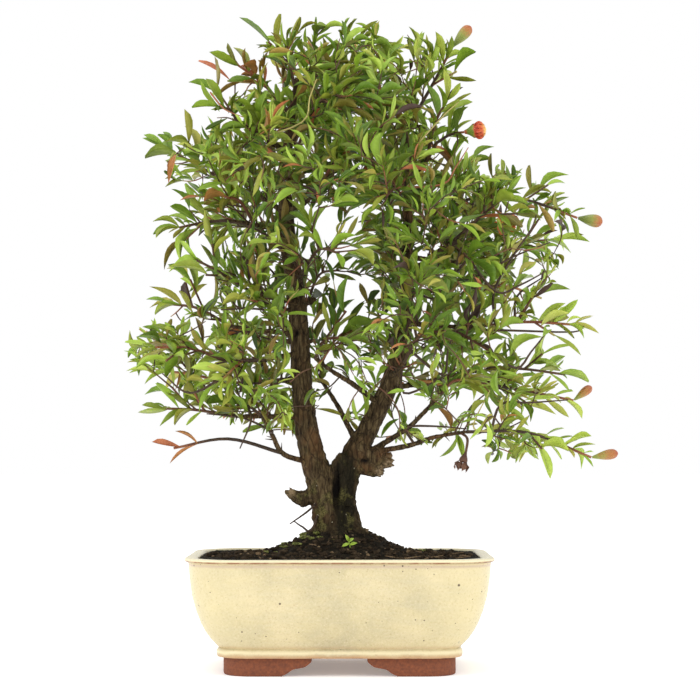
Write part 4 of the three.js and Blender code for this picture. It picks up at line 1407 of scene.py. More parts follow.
class Sheet:
    """Lays out and joins the nodes of one shader tree."""

    def __init__(self, tree: Tree) -> None:
        """Starts on a tree."""
        self.tree = tree

    def node(self, kind: str, inputs: Optional[dict] = None, **settings: object) -> Node:
        """Adds a node.

        Args:
            kind: The node's type.
            inputs: What each input is joined to or set to.
            **settings: The node's own settings.

        Returns:
            The node.
        """
        made = self.tree.nodes.new(kind)
        for name, value in settings.items():
            setattr(made, name, value)
        for name, value in (inputs or {}).items():
            if isinstance(value, Socket):
                self.tree.links.new(value, made.inputs[name])
            else:
                made.inputs[name].default_value = value
        return made

    def places(self) -> Socket:
        """Gives the piece's own coordinates, in metres."""
        return self.node("ShaderNodeTexCoord").outputs["Object"]

    def stretched(self, scale: Triple) -> Socket:
        """Gives the piece's own coordinates, scaled differently along each axis."""
        return self.node("ShaderNodeMapping", {"Vector": self.places(), "Scale": scale}).outputs[0]

    def noise(self, scale: float, detail: float = 3, roughness: float = 0.5,
              vector: Optional[Socket] = None) -> Socket:
        """Gives a cloudy value round a half."""
        inputs = {"Scale": scale, "Detail": detail, "Roughness": roughness, "Vector": vector or self.places()}
        return self.node("ShaderNodeTexNoise", inputs).outputs["Fac"]

    def edges(self, vector: Socket) -> Socket:
        """Gives the distance to the edges in a pattern of cells."""
        inputs = {"Scale": 1, "Vector": vector}
        return self.node("ShaderNodeTexVoronoi", inputs, feature="DISTANCE_TO_EDGE").outputs["Distance"]

    def maths(self, operation: str, first: object, second: object = 0.5) -> Socket:
        """Gives the result of a sum."""
        return self.node("ShaderNodeMath", {0: first, 1: second}, operation=operation).outputs[0]

    def times(self, first: object, second: object) -> Socket:
        """Gives one value times another."""
        return self.maths("MULTIPLY", first, second)

    def off_middle(self, value: Socket, factor: float = 1.0) -> Socket:
        """Gives how far a value lies from a half, times a factor."""
        return self.times(self.maths("SUBTRACT", value, 0.5), factor)

    def along(self, axis: str) -> Socket:
        """Gives the place along an axis, in metres."""
        return self.node("ShaderNodeSeparateXYZ", {"Vector": self.places()}).outputs[axis]

    def band(self, value: Socket, low: float, middle: float, high: float) -> Socket:
        """Gives a soft band of 1 round the middle of a span of values."""
        return self.times(self.between(value, low, middle), self.between(value, high, middle))

    def group(self, group: Tree, **values: float) -> Node:
        """Places a shared group with its own values."""
        return self.node("ShaderNodeGroup", values, node_tree=group)

    def between(self, value: object, low: float, high: float, start: float = 0.0,
                end: float = 1.0) -> Socket:
        """Maps the span between two values to another one, and clamps it."""
        inputs = {"Value": value, "From Min": low, "From Max": high, "To Min": start, "To Max": end}
        return self.node("ShaderNodeMapRange", inputs).outputs[0]

    def ramp(self, value: object, stops: Sequence[tuple[float, tuple]]) -> Socket:
        """Gives the colour at a value between coloured stops.

        Args:
            value: The value.
            stops: Where each stop is, and its colour.

        Returns:
            The colour.
        """
        made = self.node("ShaderNodeValToRGB", {"Fac": value})
        elements = made.color_ramp.elements
        while len(elements) < len(stops):
            elements.new(1.0)
        for element, (place, colour) in zip(elements, stops):
            element.position = place
            element.color = (*colour, 1)
        return made.outputs["Color"]

    def mix(self, factor: object, first: object, second: object) -> Socket:
        """Mixes two colours.

        Args:
            factor: Share of the second.
            first: The first colour.
            second: The second colour.

        Returns:
            The mixed colour.
        """
        made = self.node("ShaderNodeMix", data_type="RGBA")
        for index, value in ((0, factor), (6, first), (7, second)):
            if isinstance(value, Socket):
                self.tree.links.new(value, made.inputs[index])
            else:
                made.inputs[index].default_value = (*value, 1) if isinstance(value, tuple) else value
        return made.outputs[2]

    def attribute(self, name: str) -> Socket:
        """Gives a value that the piece's mesh holds."""
        return self.node("ShaderNodeAttribute", attribute_name=name).outputs["Fac"]

    def bump(self, height: object, distance: float, strength: float = 1.0) -> Socket:
        """Gives the normal of a surface with a height in metres times distance."""
        inputs = {"Height": height, "Distance": distance, "Strength": strength}
        return self.node("ShaderNodeBump", inputs).outputs[0]


def plain_material(name: str, **uniform: object) -> Material:
    """Gives a material that is the same all over.

    Args:
        name: Its name.
        **uniform: Its values, by the shader's socket with _ for a space.

    Returns:
        The material.
    """
    material = bpy.data.materials.new(name)
    material.use_nodes = True
    for socket, value in uniform.items():
        material.node_tree.nodes[SHADER].inputs[socket.replace("_", " ")].default_value = value
    return material


class Skin(Sheet):
    """A material in the making, with clouds and grain of its own size."""

    def __init__(self, name: str, specular: float, mottle: Tree, broad: float, fine: float) -> None:
        """Starts the material.

        Args:
            name: Its name.
            specular: How strongly it shines.
            mottle: The group that gives the clouds and the grain.
            broad: How close together the clouds are.
            fine: How close together the grain is.
        """
        self.material = plain_material(name, Specular_IOR_Level=specular)
        super().__init__(self.material.node_tree)
        clouds = self.group(mottle, Broad=broad, Fine=fine).outputs
        self.broad, self.fine, self.both = clouds["Broad"], clouds["Fine"], clouds["Both"]

    def two_tone(self, dark: Triple, pale: Triple) -> Socket:
        """Gives a colour that the clouds and the grain shade from dark to pale."""
        return self.ramp(self.both, [(0.35, dark), (0.65, pale)])

    def finish(self, colour: Socket, normal: Socket, roughness: Socket) -> Material:
        """Joins what it is given to the shader and gives the material."""
        for socket, output in (("Base Color", colour), ("Normal", normal), ("Roughness", roughness)):
            self.tree.links.new(output, self.tree.nodes[SHADER].inputs[socket])
        return self.material

    def grainy(self, colour: Socket, depth: float, rough: float, smooth: float) -> Material:
        """Gives the material with grain of a depth in metres, rough between it and smoother on it."""
        shine = self.between(self.fine, 0.3, 0.7, rough, smooth)
        return self.finish(colour, self.bump(self.fine, depth), shine)


def make_group(name: str, inputs: dict[str, float], outputs: dict[str, str],
               build: Callable[[Sheet, Node, Node], None]) -> Tree:
    """Makes a shader node group.

    Args:
        name: The group's name.
        inputs: Its inputs, all values, with what they are by default.
        outputs: Its outputs and the type of each socket.
        build: Lays out what is in it.

    Returns:
        The group.
    """
    group = bpy.data.node_groups.new(name, "ShaderNodeTree")
    for socket, value in inputs.items():
        made = group.interface.new_socket(name=socket, in_out="INPUT", socket_type="NodeSocketFloat")
        made.default_value = value
    for socket, kind in outputs.items():
        group.interface.new_socket(name=socket, in_out="OUTPUT", socket_type=kind)
    build(Sheet(group), group.nodes.new("NodeGroupInput"), group.nodes.new("NodeGroupOutput"))
    return group


def build_mottle(sheet: Sheet, given: Node, result: Node) -> None:
    """Lays out a group that gives broad clouds, fine grain and the two together.

    Args:
        sheet: The group's sheet.
        given: The node with what the group is given.
        result: The node that takes what it gives.
    """
    broad = sheet.noise(1, 4, 0.55)
    fine = sheet.noise(1, 3, 0.6)
    for value, socket in ((broad, "Broad"), (fine, "Fine")):
        sheet.tree.links.new(given.outputs[socket], value.node.inputs["Scale"])
        sheet.tree.links.new(value, result.inputs[socket])
    both = sheet.times(sheet.maths("ADD", broad, fine), 0.5)
    sheet.tree.links.new(both, result.inputs["Both"])


def build_specks(sheet: Sheet, given: Node, result: Node) -> None:
    """Lays out a group that gives scattered round specks of different sizes.

    Args:
        sheet: The group's sheet.
        given: The node with what the group is given.
        result: The node that takes what it gives.
    """
    cells = sheet.node("ShaderNodeTexVoronoi", {"Vector": sheet.places()}, feature="F1")
    sheet.tree.links.new(given.outputs["Scale"], cells.inputs["Scale"])
    lot = sheet.node("ShaderNodeSeparateColor", {"Color": cells.outputs["Color"]})
    size = sheet.times(lot.outputs[0], given.outputs["Size"])
    chosen = sheet.maths("LESS_THAN", lot.outputs[1], given.outputs["Share"])
    inside = sheet.maths("LESS_THAN", cells.outputs["Distance"], size)
    sheet.tree.links.new(sheet.times(chosen, inside), result.inputs["Mask"])


WHITE = (1, 1, 1, 1)
BLOOM_COLOURS = {
    Bloom.CLOSED: [
        (0.0, (0.12, 0.17, 0.030)), (0.55, (0.25, 0.28, 0.045)), (0.78, (0.38, 0.16, 0.035)),
        (1.0, (0.36, 0.075, 0.020)),
    ],
    Bloom.OPENING: [
        (0.0, (0.45, 0.06, 0.02)), (0.16, (0.15, 0.24, 0.03)), (0.42, (0.22, 0.28, 0.04)),
        (0.54, (0.50, 0.045, 0.016)), (0.85, (0.60, 0.11, 0.030)), (1.0, (0.80, 0.50, 0.12)),
    ],
    Bloom.OPEN: [(0.0, (0.30, 0.14, 0.03)), (0.4, (0.58, 0.10, 0.02)), (1.0, (0.70, 0.18, 0.03))],
    Bloom.WITHERED: [
        (0.0, (0.028, 0.014, 0.010)), (0.6, (0.085, 0.038, 0.024)), (1.0, (0.15, 0.07, 0.04)),
    ],
}


class Finishes:
    """Makes each finish once."""

    def __init__(self) -> None:
        """Makes the groups that several finishes share."""
        kind = "NodeSocketFloat"
        self.mottle = make_group("mottle", {"Broad": 40, "Fine": 400},
                                 {"Broad": kind, "Fine": kind, "Both": kind}, build_mottle)
        self.specks = make_group("specks", {"Scale": 300, "Size": 0.4, "Share": 0.3},
                                 {"Mask": kind}, build_specks)

    def skin(self, name: str, specular: float, broad: float, fine: float) -> Skin:
        """Starts a material with clouds and grain of its own size."""
        return Skin(name, specular, self.mottle, broad, fine)

    def scattered(self, skin: Skin, scale: float, size: float, share: float) -> Socket:
        """Gives specks that are scattered over a skin."""
        return skin.group(self.specks, Scale=scale, Size=size, Share=share).outputs["Mask"]

    def glaze(self) -> Material:
        """Gives the pot's cream glaze, with its iron specks, its brown edges and its bare feet, and painted
        light: paler towards the sides, a painted shadow under the rim's lip and a painted highlight on the
        rim's top.
        """
        skin = self.skin("cream_glaze", 0.5, 26, 620)
        height = skin.along("Z")
        streaks = skin.noise(1, 4, 0.6, skin.stretched((35, 35, 230)))
        level = skin.maths("ADD", height, skin.off_middle(skin.noise(90, 3), 0.0022))
        cream = skin.ramp(skin.broad, [
            (0.3, (0.45, 0.39, 0.235)), (0.5, (0.565, 0.483, 0.275)), (0.68, (0.64, 0.545, 0.32)),
        ])
        # Distance from the pot's middle from side to side, for painted light: the glaze is paler towards the
        # sides.
        off = skin.maths("ABSOLUTE", skin.maths("SUBTRACT", skin.along("X"), POT_MIDDLE.x))
        line = skin.band(level, 0.0186, 0.0196, 0.0216)
        foot = skin.band(level, 0.0118, 0.0130, 0.0156)
        rim = skin.times(skin.band(height, 0.0776, 0.0785, 0.0793), 1.5)
        small = self.scattered(skin, 330, 0.22, 0.12)
        large = self.scattered(skin, 125, 0.16, 0.3)
        iron = skin.maths("MAXIMUM", small, large)
        for share, tint in (
            (skin.between(streaks, 0.45, 0.75, 0, 0.4), (0.50, 0.45, 0.31)),
            (skin.between(skin.fine, 0.52, 0.75, 0, 0.4), (0.75, 0.66, 0.46)),
            (skin.between(skin.noise(900, 3, 0.6), 0.56, 0.7, 0, 0.35), (0.33, 0.19, 0.09)),
            # Painted light: paler cream towards the pot's left and right sides.
            (skin.between(off, 0.045, 0.088, 0, 0.45), (0.70, 0.60, 0.34)),
            # Painted shadow: a darker band just under the rim's lip.
            (skin.band(height, 0.0745, 0.0762, 0.0774), (0.52, 0.40, 0.28)),
            # Painted highlight: paler cream over the top of the rim.
            (skin.between(height, 0.0790, 0.0795), (0.74, 0.66, 0.44)),
            (skin.band(level, 0.0145, 0.0165, 0.0182), (0.74, 0.64, 0.40)),
            (skin.maths("MAXIMUM", skin.times(line, 0.25), skin.times(foot, 0.7)), (0.42, 0.17, 0.06)),
            (skin.times(rim, skin.between(skin.noise(160, 3), 0.4, 0.56, 0.45, 1)), (0.27, 0.115, 0.05)),
            (skin.times(iron, 0.85), (0.06, 0.03, 0.016)),
        ):
            cream = skin.mix(share, cream, tint)
        clay = skin.ramp(skin.fine, [(0.3, (0.125, 0.032, 0.012)), (0.7, (0.245, 0.072, 0.027))])
        bare = skin.between(level, 0.0128, 0.0123)
        rough = skin.between(skin.fine, 0.35, 0.7, 0.26, 0.4)
        rough = skin.maths("ADD", rough, skin.times(bare, 0.45))
        relief = skin.maths("ADD", skin.fine, skin.times(iron, -2))
        return skin.finish(skin.mix(bare, cream, clay), skin.bump(relief, 0.00008, 0.6), rough)

    def bark(self) -> Material:
        """Gives the old wood's flaking bark, wet and mossy near the soil, with paler sawn ends, and painted
        shade on the trunks' base and in the hollows.
        """
        skin = self.skin("flaking_bark", 0.12, 38, 900)
        ridges = skin.noise(1, 5, 0.65, skin.stretched((420, 420, 95)))
        plates = skin.edges(skin.stretched((190, 190, 62)))
        brown = skin.ramp(ridges, [
            (0.3, (0.014, 0.009, 0.005)), (0.46, (0.056, 0.037, 0.018)), (0.6, (0.120, 0.084, 0.040)),
            (0.78, (0.225, 0.168, 0.088)),
        ])
        height = skin.along("Z")
        # Painted shade: a darker strip down the trunks' base, from 6 mm left to 14 mm right of the pot's
        # middle, below 162 mm.
        shaded = skin.band(skin.maths("ADD", skin.along("X"), -POT_MIDDLE.x), -0.006, 0.004, 0.014)
        shaded = skin.times(shaded, skin.between(height, 0.162, 0.142, 0, 1.9))
        shaded = skin.maths("MINIMUM", shaded, 0.9)
        # Darker towards the soil where the bark is wet, together with the painted shade on the trunks' base.
        damp_and_shade = skin.maths("MAXIMUM", skin.between(height, 0.125, 0.092, 0, 0.7), shaded)
        low = skin.between(height, 0.16, 0.115)
        algae = skin.times(low, skin.between(skin.noise(110, 4), 0.52, 0.62, 0, 0.7))
        green = skin.ramp(skin.fine, [(0.38, (0.030, 0.030, 0.010)), (0.62, (0.19, 0.165, 0.055))])
        heart = skin.ramp(skin.fine, [(0.3, (0.13, 0.085, 0.045)), (0.7, (0.38, 0.28, 0.165))])
        for share, tint in (
            (skin.between(skin.broad, 0.52, 0.68, 0, 0.5), (0.150, 0.068, 0.028)),
            (skin.between(plates, 0.05, 0.0, 0, 0.75), (0.018, 0.011, 0.008)),
            # Near black for the wet bark near the soil and for the painted shade on the trunks' base.
            (damp_and_shade, (0.012, 0.011, 0.006)),
            (algae, green),
            (skin.times(low, self.scattered(skin, 380, 0.34, 0.1)), (0.40, 0.36, 0.25)),
            (skin.attribute("sawn"), heart),
            # Painted shade: near black inside the hollows in the front of the wood.
            (skin.attribute("hollow_and_shade"), (0.007, 0.005, 0.004)),
        ):
            brown = skin.mix(share, brown, tint)
        relief = skin.maths("ADD", ridges, skin.times(skin.between(plates, 0, 0.08), 0.5))
        return skin.finish(brown, skin.bump(relief, 0.0011), skin.between(ridges, 0.3, 0.7, 0.95, 0.74))

    def twig(self) -> Material:
        """Gives the young twigs: near black where old, salmon red where new."""
        skin = self.skin("twig_skin", 0.35, 150, 1400)
        old = skin.two_tone((0.020, 0.012, 0.007), (0.095, 0.055, 0.030))
        new = skin.two_tone((0.24, 0.060, 0.030), (0.40, 0.17, 0.075))
        youth = skin.attribute("youth")
        colour = skin.mix(skin.between(youth, 0, 0.6), old, new)
        colour = skin.mix(skin.between(youth, 0.6, 1), colour, (0.42, 0.36, 0.12))
        return skin.grainy(colour, 0.0003, 0.8, 0.55)

    def leaf(self, name: str = "leaf_skin") -> Material:
        """Gives the leaves: veined, from deep green to lime, with red young and brown dry ones.

        Args:
            name: The material's name.

        Returns:
            The material.
        """
        skin = self.skin(name, 0.35, 120, 900)
        blade = skin.node("ShaderNodeUVMap", uv_map="blade").outputs[0]
        spot = skin.node("ShaderNodeSeparateXYZ", {"Vector": blade})
        across = skin.maths("ABSOLUTE", skin.maths("SUBTRACT", spot.outputs["X"], 0.5))
        tone = skin.maths("ADD", skin.attribute("tone"), skin.off_middle(skin.broad, 0.5))
        green = skin.ramp(tone, [
            (0.0, (0.036, 0.078, 0.006)), (0.3, (0.098, 0.190, 0.010)), (0.62, (0.248, 0.394, 0.030)),
            (1.0, (0.50, 0.64, 0.10)),
        ])
        midrib = skin.between(across, 0.045, 0.015)
        lines = skin.maths("SUBTRACT", skin.times(spot.outputs["Y"], 9), skin.times(across, 3.2))
        veins = skin.between(skin.maths("PINGPONG", lines, 0.5), 0.07, 0.0)
        marks = skin.maths("MAXIMUM", skin.times(midrib, 0.6), skin.times(veins, 0.2))
        green = skin.mix(marks, green, (0.42, 0.52, 0.13))
        blush = skin.attribute("blush")
        red = skin.two_tone((0.33, 0.075, 0.030), (0.60, 0.19, 0.085))
        colour = skin.mix(skin.between(blush, 0.05, 0.48), green, red)
        colour = skin.mix(skin.between(blush, 0.6, 0.85), colour, (0.055, 0.028, 0.018))
        relief = skin.maths("ADD", skin.times(marks, -1), skin.fine)
        shine = skin.between(skin.fine, 0.35, 0.7, 0.36, 0.52)
        return skin.finish(colour, skin.bump(relief, 0.00022, 0.7), shine)

    def soil(self) -> Material:
        """Gives the moist, near black bark and peat mix."""
        skin = self.skin("peat_and_bark", 0.1, 170, 1300)
        colour = skin.ramp(skin.both, [
            (0.36, (0.005, 0.004, 0.003)), (0.52, (0.016, 0.012, 0.008)), (0.66, (0.052, 0.040, 0.024)),
        ])
        chips = skin.times(self.scattered(skin, 430, 0.42, 0.06), 0.6)
        colour = skin.mix(chips, colour, (0.27, 0.19, 0.12))
        return skin.finish(colour, skin.bump(skin.both, 0.0014), skin.between(skin.fine, 0.3, 0.7, 1.0, 0.8))

    def crumbs(self) -> Material:
        """Gives the loose bits on the soil, from black peat to pale straw."""
        skin = self.skin("loose_bits", 0.1, 300, 1700)
        dark = skin.two_tone((0.008, 0.006, 0.004), (0.044, 0.030, 0.018))
        pale = skin.two_tone((0.17, 0.095, 0.050), (0.40, 0.29, 0.17))
        return skin.grainy(skin.mix(skin.attribute("pale"), dark, pale), 0.0006, 0.98, 0.8)

    def moss(self) -> Material:
        """Gives the moss cushions beside the trunk."""
        skin = self.skin("moss_green", 0.25, 240, 1500)
        colour = skin.ramp(skin.both, [
            (0.36, (0.022, 0.024, 0.008)), (0.48, (0.13, 0.14, 0.030)), (0.6, (0.33, 0.35, 0.11)),
        ])
        return skin.grainy(colour, 0.0012, 1.0, 0.8)

    def bloom(self, bloom: Bloom) -> Material:
        """Gives a flower's finish: green at the foot and orange at the end, or dry brown.

        Args:
            bloom: How far the flower has come.

        Returns:
            The material.
        """
        skin = self.skin(f"{bloom.value}_flower_skin", 0.5, 320, 1500)
        shifted = skin.maths("ADD", skin.attribute("rise"), skin.off_middle(skin.broad, 0.4))
        rough, smooth = (0.95, 0.75) if bloom is Bloom.WITHERED else (0.45, 0.3)
        return skin.grainy(skin.ramp(shifted, BLOOM_COLOURS[bloom]), 0.00035, rough, smooth)

    def screen(self) -> Material:
        """Gives the drain screens' dusty black plastic."""
        skin = self.skin("dusty_plastic", 0.4, 300, 1800)
        colour = skin.ramp(skin.both, [(0.4, (0.014, 0.016, 0.014)), (0.7, (0.09, 0.07, 0.05))])
        return skin.grainy(colour, 0.0001, 0.5, 0.8)

    def floor(self) -> Material:
        """Gives the plain pale floor."""
        return plain_material("pale_floor", Base_Color=WHITE, Roughness=1, Specular_IOR_Level=0,
                              Emission_Color=WHITE, Emission_Strength=0.22)


# ---- The pot ----


@dataclass
class Pot:
    """The glazed pot: a rounded-rectangle bowl on four corner feet, with two drain holes."""

    half_width: float = 107.5
    half_depth: float = 80
    corner_radius: float = 34
    corner_tightening: float = 0.55
    least_corner_radius: float = 8
    depth_inset: float = 0.8
    corner_steps: int = 14
    wall_steps: int = 8
    floor_top: float = 19
    outside: tuple = (
        (22.7, 12.6), (22.3, 13.4), (22.1, 15.0), (22.2, 16.8), (22.8, 17.9), (23.8, 18.6), (23.2, 19.4),
        (21.0, 21.6), (18.2, 24.6), (14.6, 29.6), (11.4, 35.5), (7.9, 44.5), (5.0, 55), (3.5, 66),
        (2.6, 76.2), (2.4, 77.4), (1.4, 77.8), (0.3, 78.3), (0, 79.0), (0.1, 79.9), (0.6, 80.5), (1.4, 80.7),
    )
    inside: tuple = (
        (6.6, 80.7), (7.6, 80.4), (8.2, 79.6), (8.6, 75), (10.2, 60), (12.5, 46), (16.2, 37), (20.5, 29),
        (25.5, 22.6), (33, 19),
    )
    foot_inset: float = 26.8
    foot_thickness: float = 13
    foot_top: float = 13.4
    arch: tuple = (
        (19.0, 14), (19.1, 10.6), (19.6, 9.6), (21.6, 7.9), (23.4, 6.6), (25.4, 6.0), (29.4, 5.3),
        (31.8, 4.8), (33.4, 3.9), (35.6, 2.2), (37.6, 1.2), (39.0, 0.6), (39.5, 0.2), (39.6, -2),
    )
    side_arch_narrower: float = 14
    drain_radius: float = 8.5
    drain_x: float = 40
    wobble: float = 0.35
    even_top: float = 19.2

    def ring(self, inset: float, height: float) -> list[Vector]:
        """Gives a level rounded rectangle that lies an inset inside the rim.

        Args:
            inset: How far inside the rim.
            height: How high it lies.

        Returns:
            Its corners, in order.
        """
        radius = max(self.corner_radius - self.corner_tightening * inset, self.least_corner_radius)
        reach_x = self.half_width - inset - radius
        reach_y = self.half_depth - inset * self.depth_inset - radius
        places = []
        for sign_x, sign_y, quarter in ((1, 1, 0), (-1, 1, 1), (-1, -1, 2), (1, -1, 3)):
            middle = Vector((sign_x * reach_x, sign_y * reach_y, height))
            for step in range(self.corner_steps + 1):
                angle = (quarter + step / self.corner_steps) * math.pi / 2
                places.append(middle + Vector((math.cos(angle), math.sin(angle), 0)) * radius)
            start = places[-1]
            crosswise = quarter % 2 == 0
            along = (RIGHT * reach_x * sign_x if crosswise else FORTH * reach_y * sign_y) * -2
            places += [start + along * (step / self.wall_steps) for step in range(1, self.wall_steps)]
        return places

    def hand_made(self, ring: list[Vector]) -> list[Vector]:
        """Gives a ring the slight unevenness of a pot made by hand."""
        return [place + noise.noise_vector(place * 0.013) * self.wobble for place in ring]

    def arch_bar(self, narrower: float, turned: bool) -> Shape:
        """Gives the bar that cuts the opening between two feet.

        Args:
            narrower: How much narrower it is each way than the front one.
            turned: Whether it runs from side to side.

        Returns:
            The closed bar.
        """
        right = [(x - narrower, z) for x, z in self.arch]
        section = [*right, *[(-x, z) for x, z in reversed(right)]]
        length = self.half_width + 4
        rings = [[Vector((x, y, z)) for x, z in section] for y in (-length, length)]
        bar = loft(rings)
        if turned:
            rotate(bar, math.pi / 2)
        return bar

    def feet(self) -> Shape:
        """Gives the band of the four feet, with the openings cut."""
        sole, inner = self.foot_inset + 1, self.foot_inset + self.foot_thickness
        outer = self.foot_inset
        profile = ((sole, 0), (outer + 0.2, 0.6), (outer, 1.6), (outer, self.foot_top))
        band = loft([self.ring(inset, height) for inset, height in profile])
        core = loft([self.ring(inner, -2), self.ring(inner, self.foot_top + 2)])
        band = carve(band, core, "DIFFERENCE")
        band = carve(band, self.arch_bar(0, False), "DIFFERENCE")
        return carve(band, self.arch_bar(self.side_arch_narrower, True), "DIFFERENCE")

    def bowl(self) -> Shape:
        """Gives the bowl with its wall, rim and floor."""
        rings = [self.ring(inset, height) for inset, height in (*self.outside, *self.inside)]
        return loft([self.hand_made(ring) if ring[0].z > self.even_top else ring for ring in rings])

    def build(self, bench: Bench, finishes: Finishes) -> None:
        """Makes the pot and dresses the drain screens.

        Args:
            bench: Makes the pieces.
            finishes: Makes the finishes.
        """
        shape = carve(self.bowl(), self.feet(), "UNION")
        for side in (-1, 1):
            drill = bmesh.new()
            at = Matrix.Translation((side * self.drain_x, 0, self.floor_top))
            bmesh.ops.create_cone(drill, cap_ends=True, segments=48, radius1=self.drain_radius,
                                  radius2=self.drain_radius, depth=3 * self.floor_top, matrix=at)
            shape = carve(shape, drill, "DIFFERENCE")
        bmesh.ops.remove_doubles(shape, verts=shape.verts, dist=0.005)
        shade_smooth(shape)
        bench.piece("glazed_pot", shape, finishes.glaze(), "glazed_clay", ["pot"])
        screen = finishes.screen()
        for name in ("drain_screen_left", "drain_screen_right"):
            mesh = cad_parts[name].data
            mesh.materials.clear()
            mesh.materials.append(screen)


# ---- The soil and what lies on it ----


@dataclass
class Soil:
    """The mounded soil, its loose bits, the moss beside the trunk and a seedling."""

    edge_height: float = 79.4
    mound_height: float = 21.8
    mound_reach: float = 38
    clear: float = 0.4
    rings: int = 58
    lump: float = 0.78
    grain: float = 1.6
    screen_room: float = 13.6
    screen_top: float = 21.2
    crumb_count: int = 1500
    crumb_margin: float = 12
    wall_top: float = 76
    bottom_rings: int = 12
    cushions: tuple = (
        (-24, -10, 5), (-31, -16, 3.6), (-20, -18, 3.2), (-40, -12, 3), (-29, -24, 2.4), (-14, -20, 2.6),
        (-52, -18, 2.4), (-24, 6, 6), (-38, 6, 5), (-17, -13, 3.4), (26, 14, 5), (-45, -24, 2.2), (4, 24, 6),
        (60, 26, 3.6),
    )

    def height(self, x: float, y: float) -> float:
        """Gives the height of the soil's lumpy top at a place.

        Args:
            x: The place from left to right.
            y: The place from front to back.

        Returns:
            The height.
        """
        from_trunk = math.hypot(x, y * 1.1) / self.mound_reach
        broad = math.sin(x * 0.21 + 1.3) * math.cos(y * 0.26 - 0.4)
        lumps = broad + 0.5 * math.sin(x * 0.47 - y * 0.39)
        return self.edge_height + self.mound_height * math.exp(-from_trunk ** 2) + self.lump * lumps

    def on_top(self, x: float, y: float) -> Vector:
        """Gives the place on the soil's lumpy top."""
        return Vector((x, y, self.height(x, y)))

    def rough(self, place: Vector) -> float:
        """Gives how far the soil's grains stand out at a place."""
        lumps = noise.turbulence(place * 0.16, 3, False)
        grains = 1 - noise.voronoi(place * 0.36)[0][0]
        return self.grain * (0.7 * lumps + 0.95 * grains - 0.6)

    def body(self, pot: Pot) -> Shape:
        """Gives the soil's closed body: it fills the pot and its top is lumpy.

        Args:
            pot: The pot that holds it.

        Returns:
            The shape.
        """
        walls = [step for step in reversed(pot.inside) if step[1] < self.wall_top]
        base = [pot.ring(inset + self.clear, height + self.clear) for inset, height in walls]
        bottom = []
        for step in range(1, self.bottom_rings + 1):
            share = step / (self.bottom_rings + 1)
            ring = [Vector((place.x * share, place.y * share, place.z)) for place in base[0]]
            bottom.append([self.over_screen(place, pot) for place in ring])
        edge = pot.ring(walls[-1][0] + self.clear, self.edge_height)
        top = []
        for step in range(self.rings):
            share = 1 - step / (self.rings + 0.5)
            ring = []
            for place in edge:
                spot = self.on_top(place.x * share, place.y * share)
                ring.append(spot + UP * (self.rough(spot) * clamp(step / 2)))
            top.append(ring)
        return loft([*bottom, *base, *top])

    def over_screen(self, place: Vector, pot: Pot) -> Vector:
        """Lifts a place of the soil's underside over a drain screen."""
        near = abs(abs(place.x) - pot.drain_x) < self.screen_room and abs(place.y) < self.screen_room
        return Vector((place.x, place.y, self.screen_top if near else place.z))

    def crumbs(self, pot: Pot) -> Shape:
        """Gives the loose bits: chips of bark, grit and bits of straw.

        Args:
            pot: The pot.

        Returns:
            The shape.
        """
        shape = bmesh.new()
        pale = shape.verts.layers.float.new("pale")
        for order in range(self.crumb_count):
            angle, out = 2 * math.pi * draw(order, 61), math.sqrt(draw(order, 62))
            x = math.cos(angle) * out * (pot.half_width - self.crumb_margin)
            y = math.sin(angle) * out * (pot.half_depth - self.crumb_margin)
            straw = draw(order, 63) > (0.9 if x > 30 and y < 0 else 0.985)
            size = 0.7 + 1.5 * draw(order, 64) ** 1.8
            chip = bmesh.new()
            if straw:
                long = 5 + 9 * draw(order, 65)
                bmesh.ops.create_cone(chip, cap_ends=True, segments=5, radius1=0.32, radius2=0.2, depth=long)
                rotate(chip, 1.45, "X")
            else:
                bmesh.ops.create_icosphere(chip, subdivisions=1, radius=size)
                bmesh.ops.scale(chip, verts=chip.verts, vec=(1 + 0.5 * draw(order, 66), 0.9, 0.75))
            dent = 0 if straw else 0.5 * size
            for vert in chip.verts:
                vert.co += noise.noise_vector(vert.co * 1.7 + Vector((order, 0, 0))) * dent
            rotate(chip, 6.28 * draw(order, 67))
            lift = 0.25 * size + (0.5 if straw else 0)
            spot = self.on_top(x, y)
            spot.z += self.rough(spot) + lift
            bmesh.ops.translate(chip, verts=chip.verts, vec=spot)
            lot = draw(order, 68)
            tone = 0.9 if straw else (0.8 * lot if lot > 0.965 else 0.14 * lot)
            for vert in append(shape, chip):
                vert[pale] = tone
        return shape

    def moss(self) -> Shape:
        """Gives the moss cushions, most of them on the left of the trunk's base."""
        shape = bmesh.new()
        for order, (x, y, size) in enumerate(self.cushions):
            cushion = bmesh.new()
            bmesh.ops.create_icosphere(cushion, subdivisions=4, radius=size)
            bmesh.ops.scale(cushion, verts=cushion.verts, vec=(1, 0.8, 0.4))
            for vert in cushion.verts:
                spot = vert.co + Vector((order * 9, 0, 0))
                fluff = 0.9 * noise.turbulence(spot * 0.3, 3, False)
                fluff += 0.8 * (1 - noise.voronoi(spot * 0.75)[0][0])
                vert.co += vert.co.normalized() * (fluff - 0.8) * 1.6
            bmesh.ops.translate(cushion, verts=cushion.verts, vec=(x, y, self.height(x, y) + 0.7))
            append(shape, cushion)
        return shape

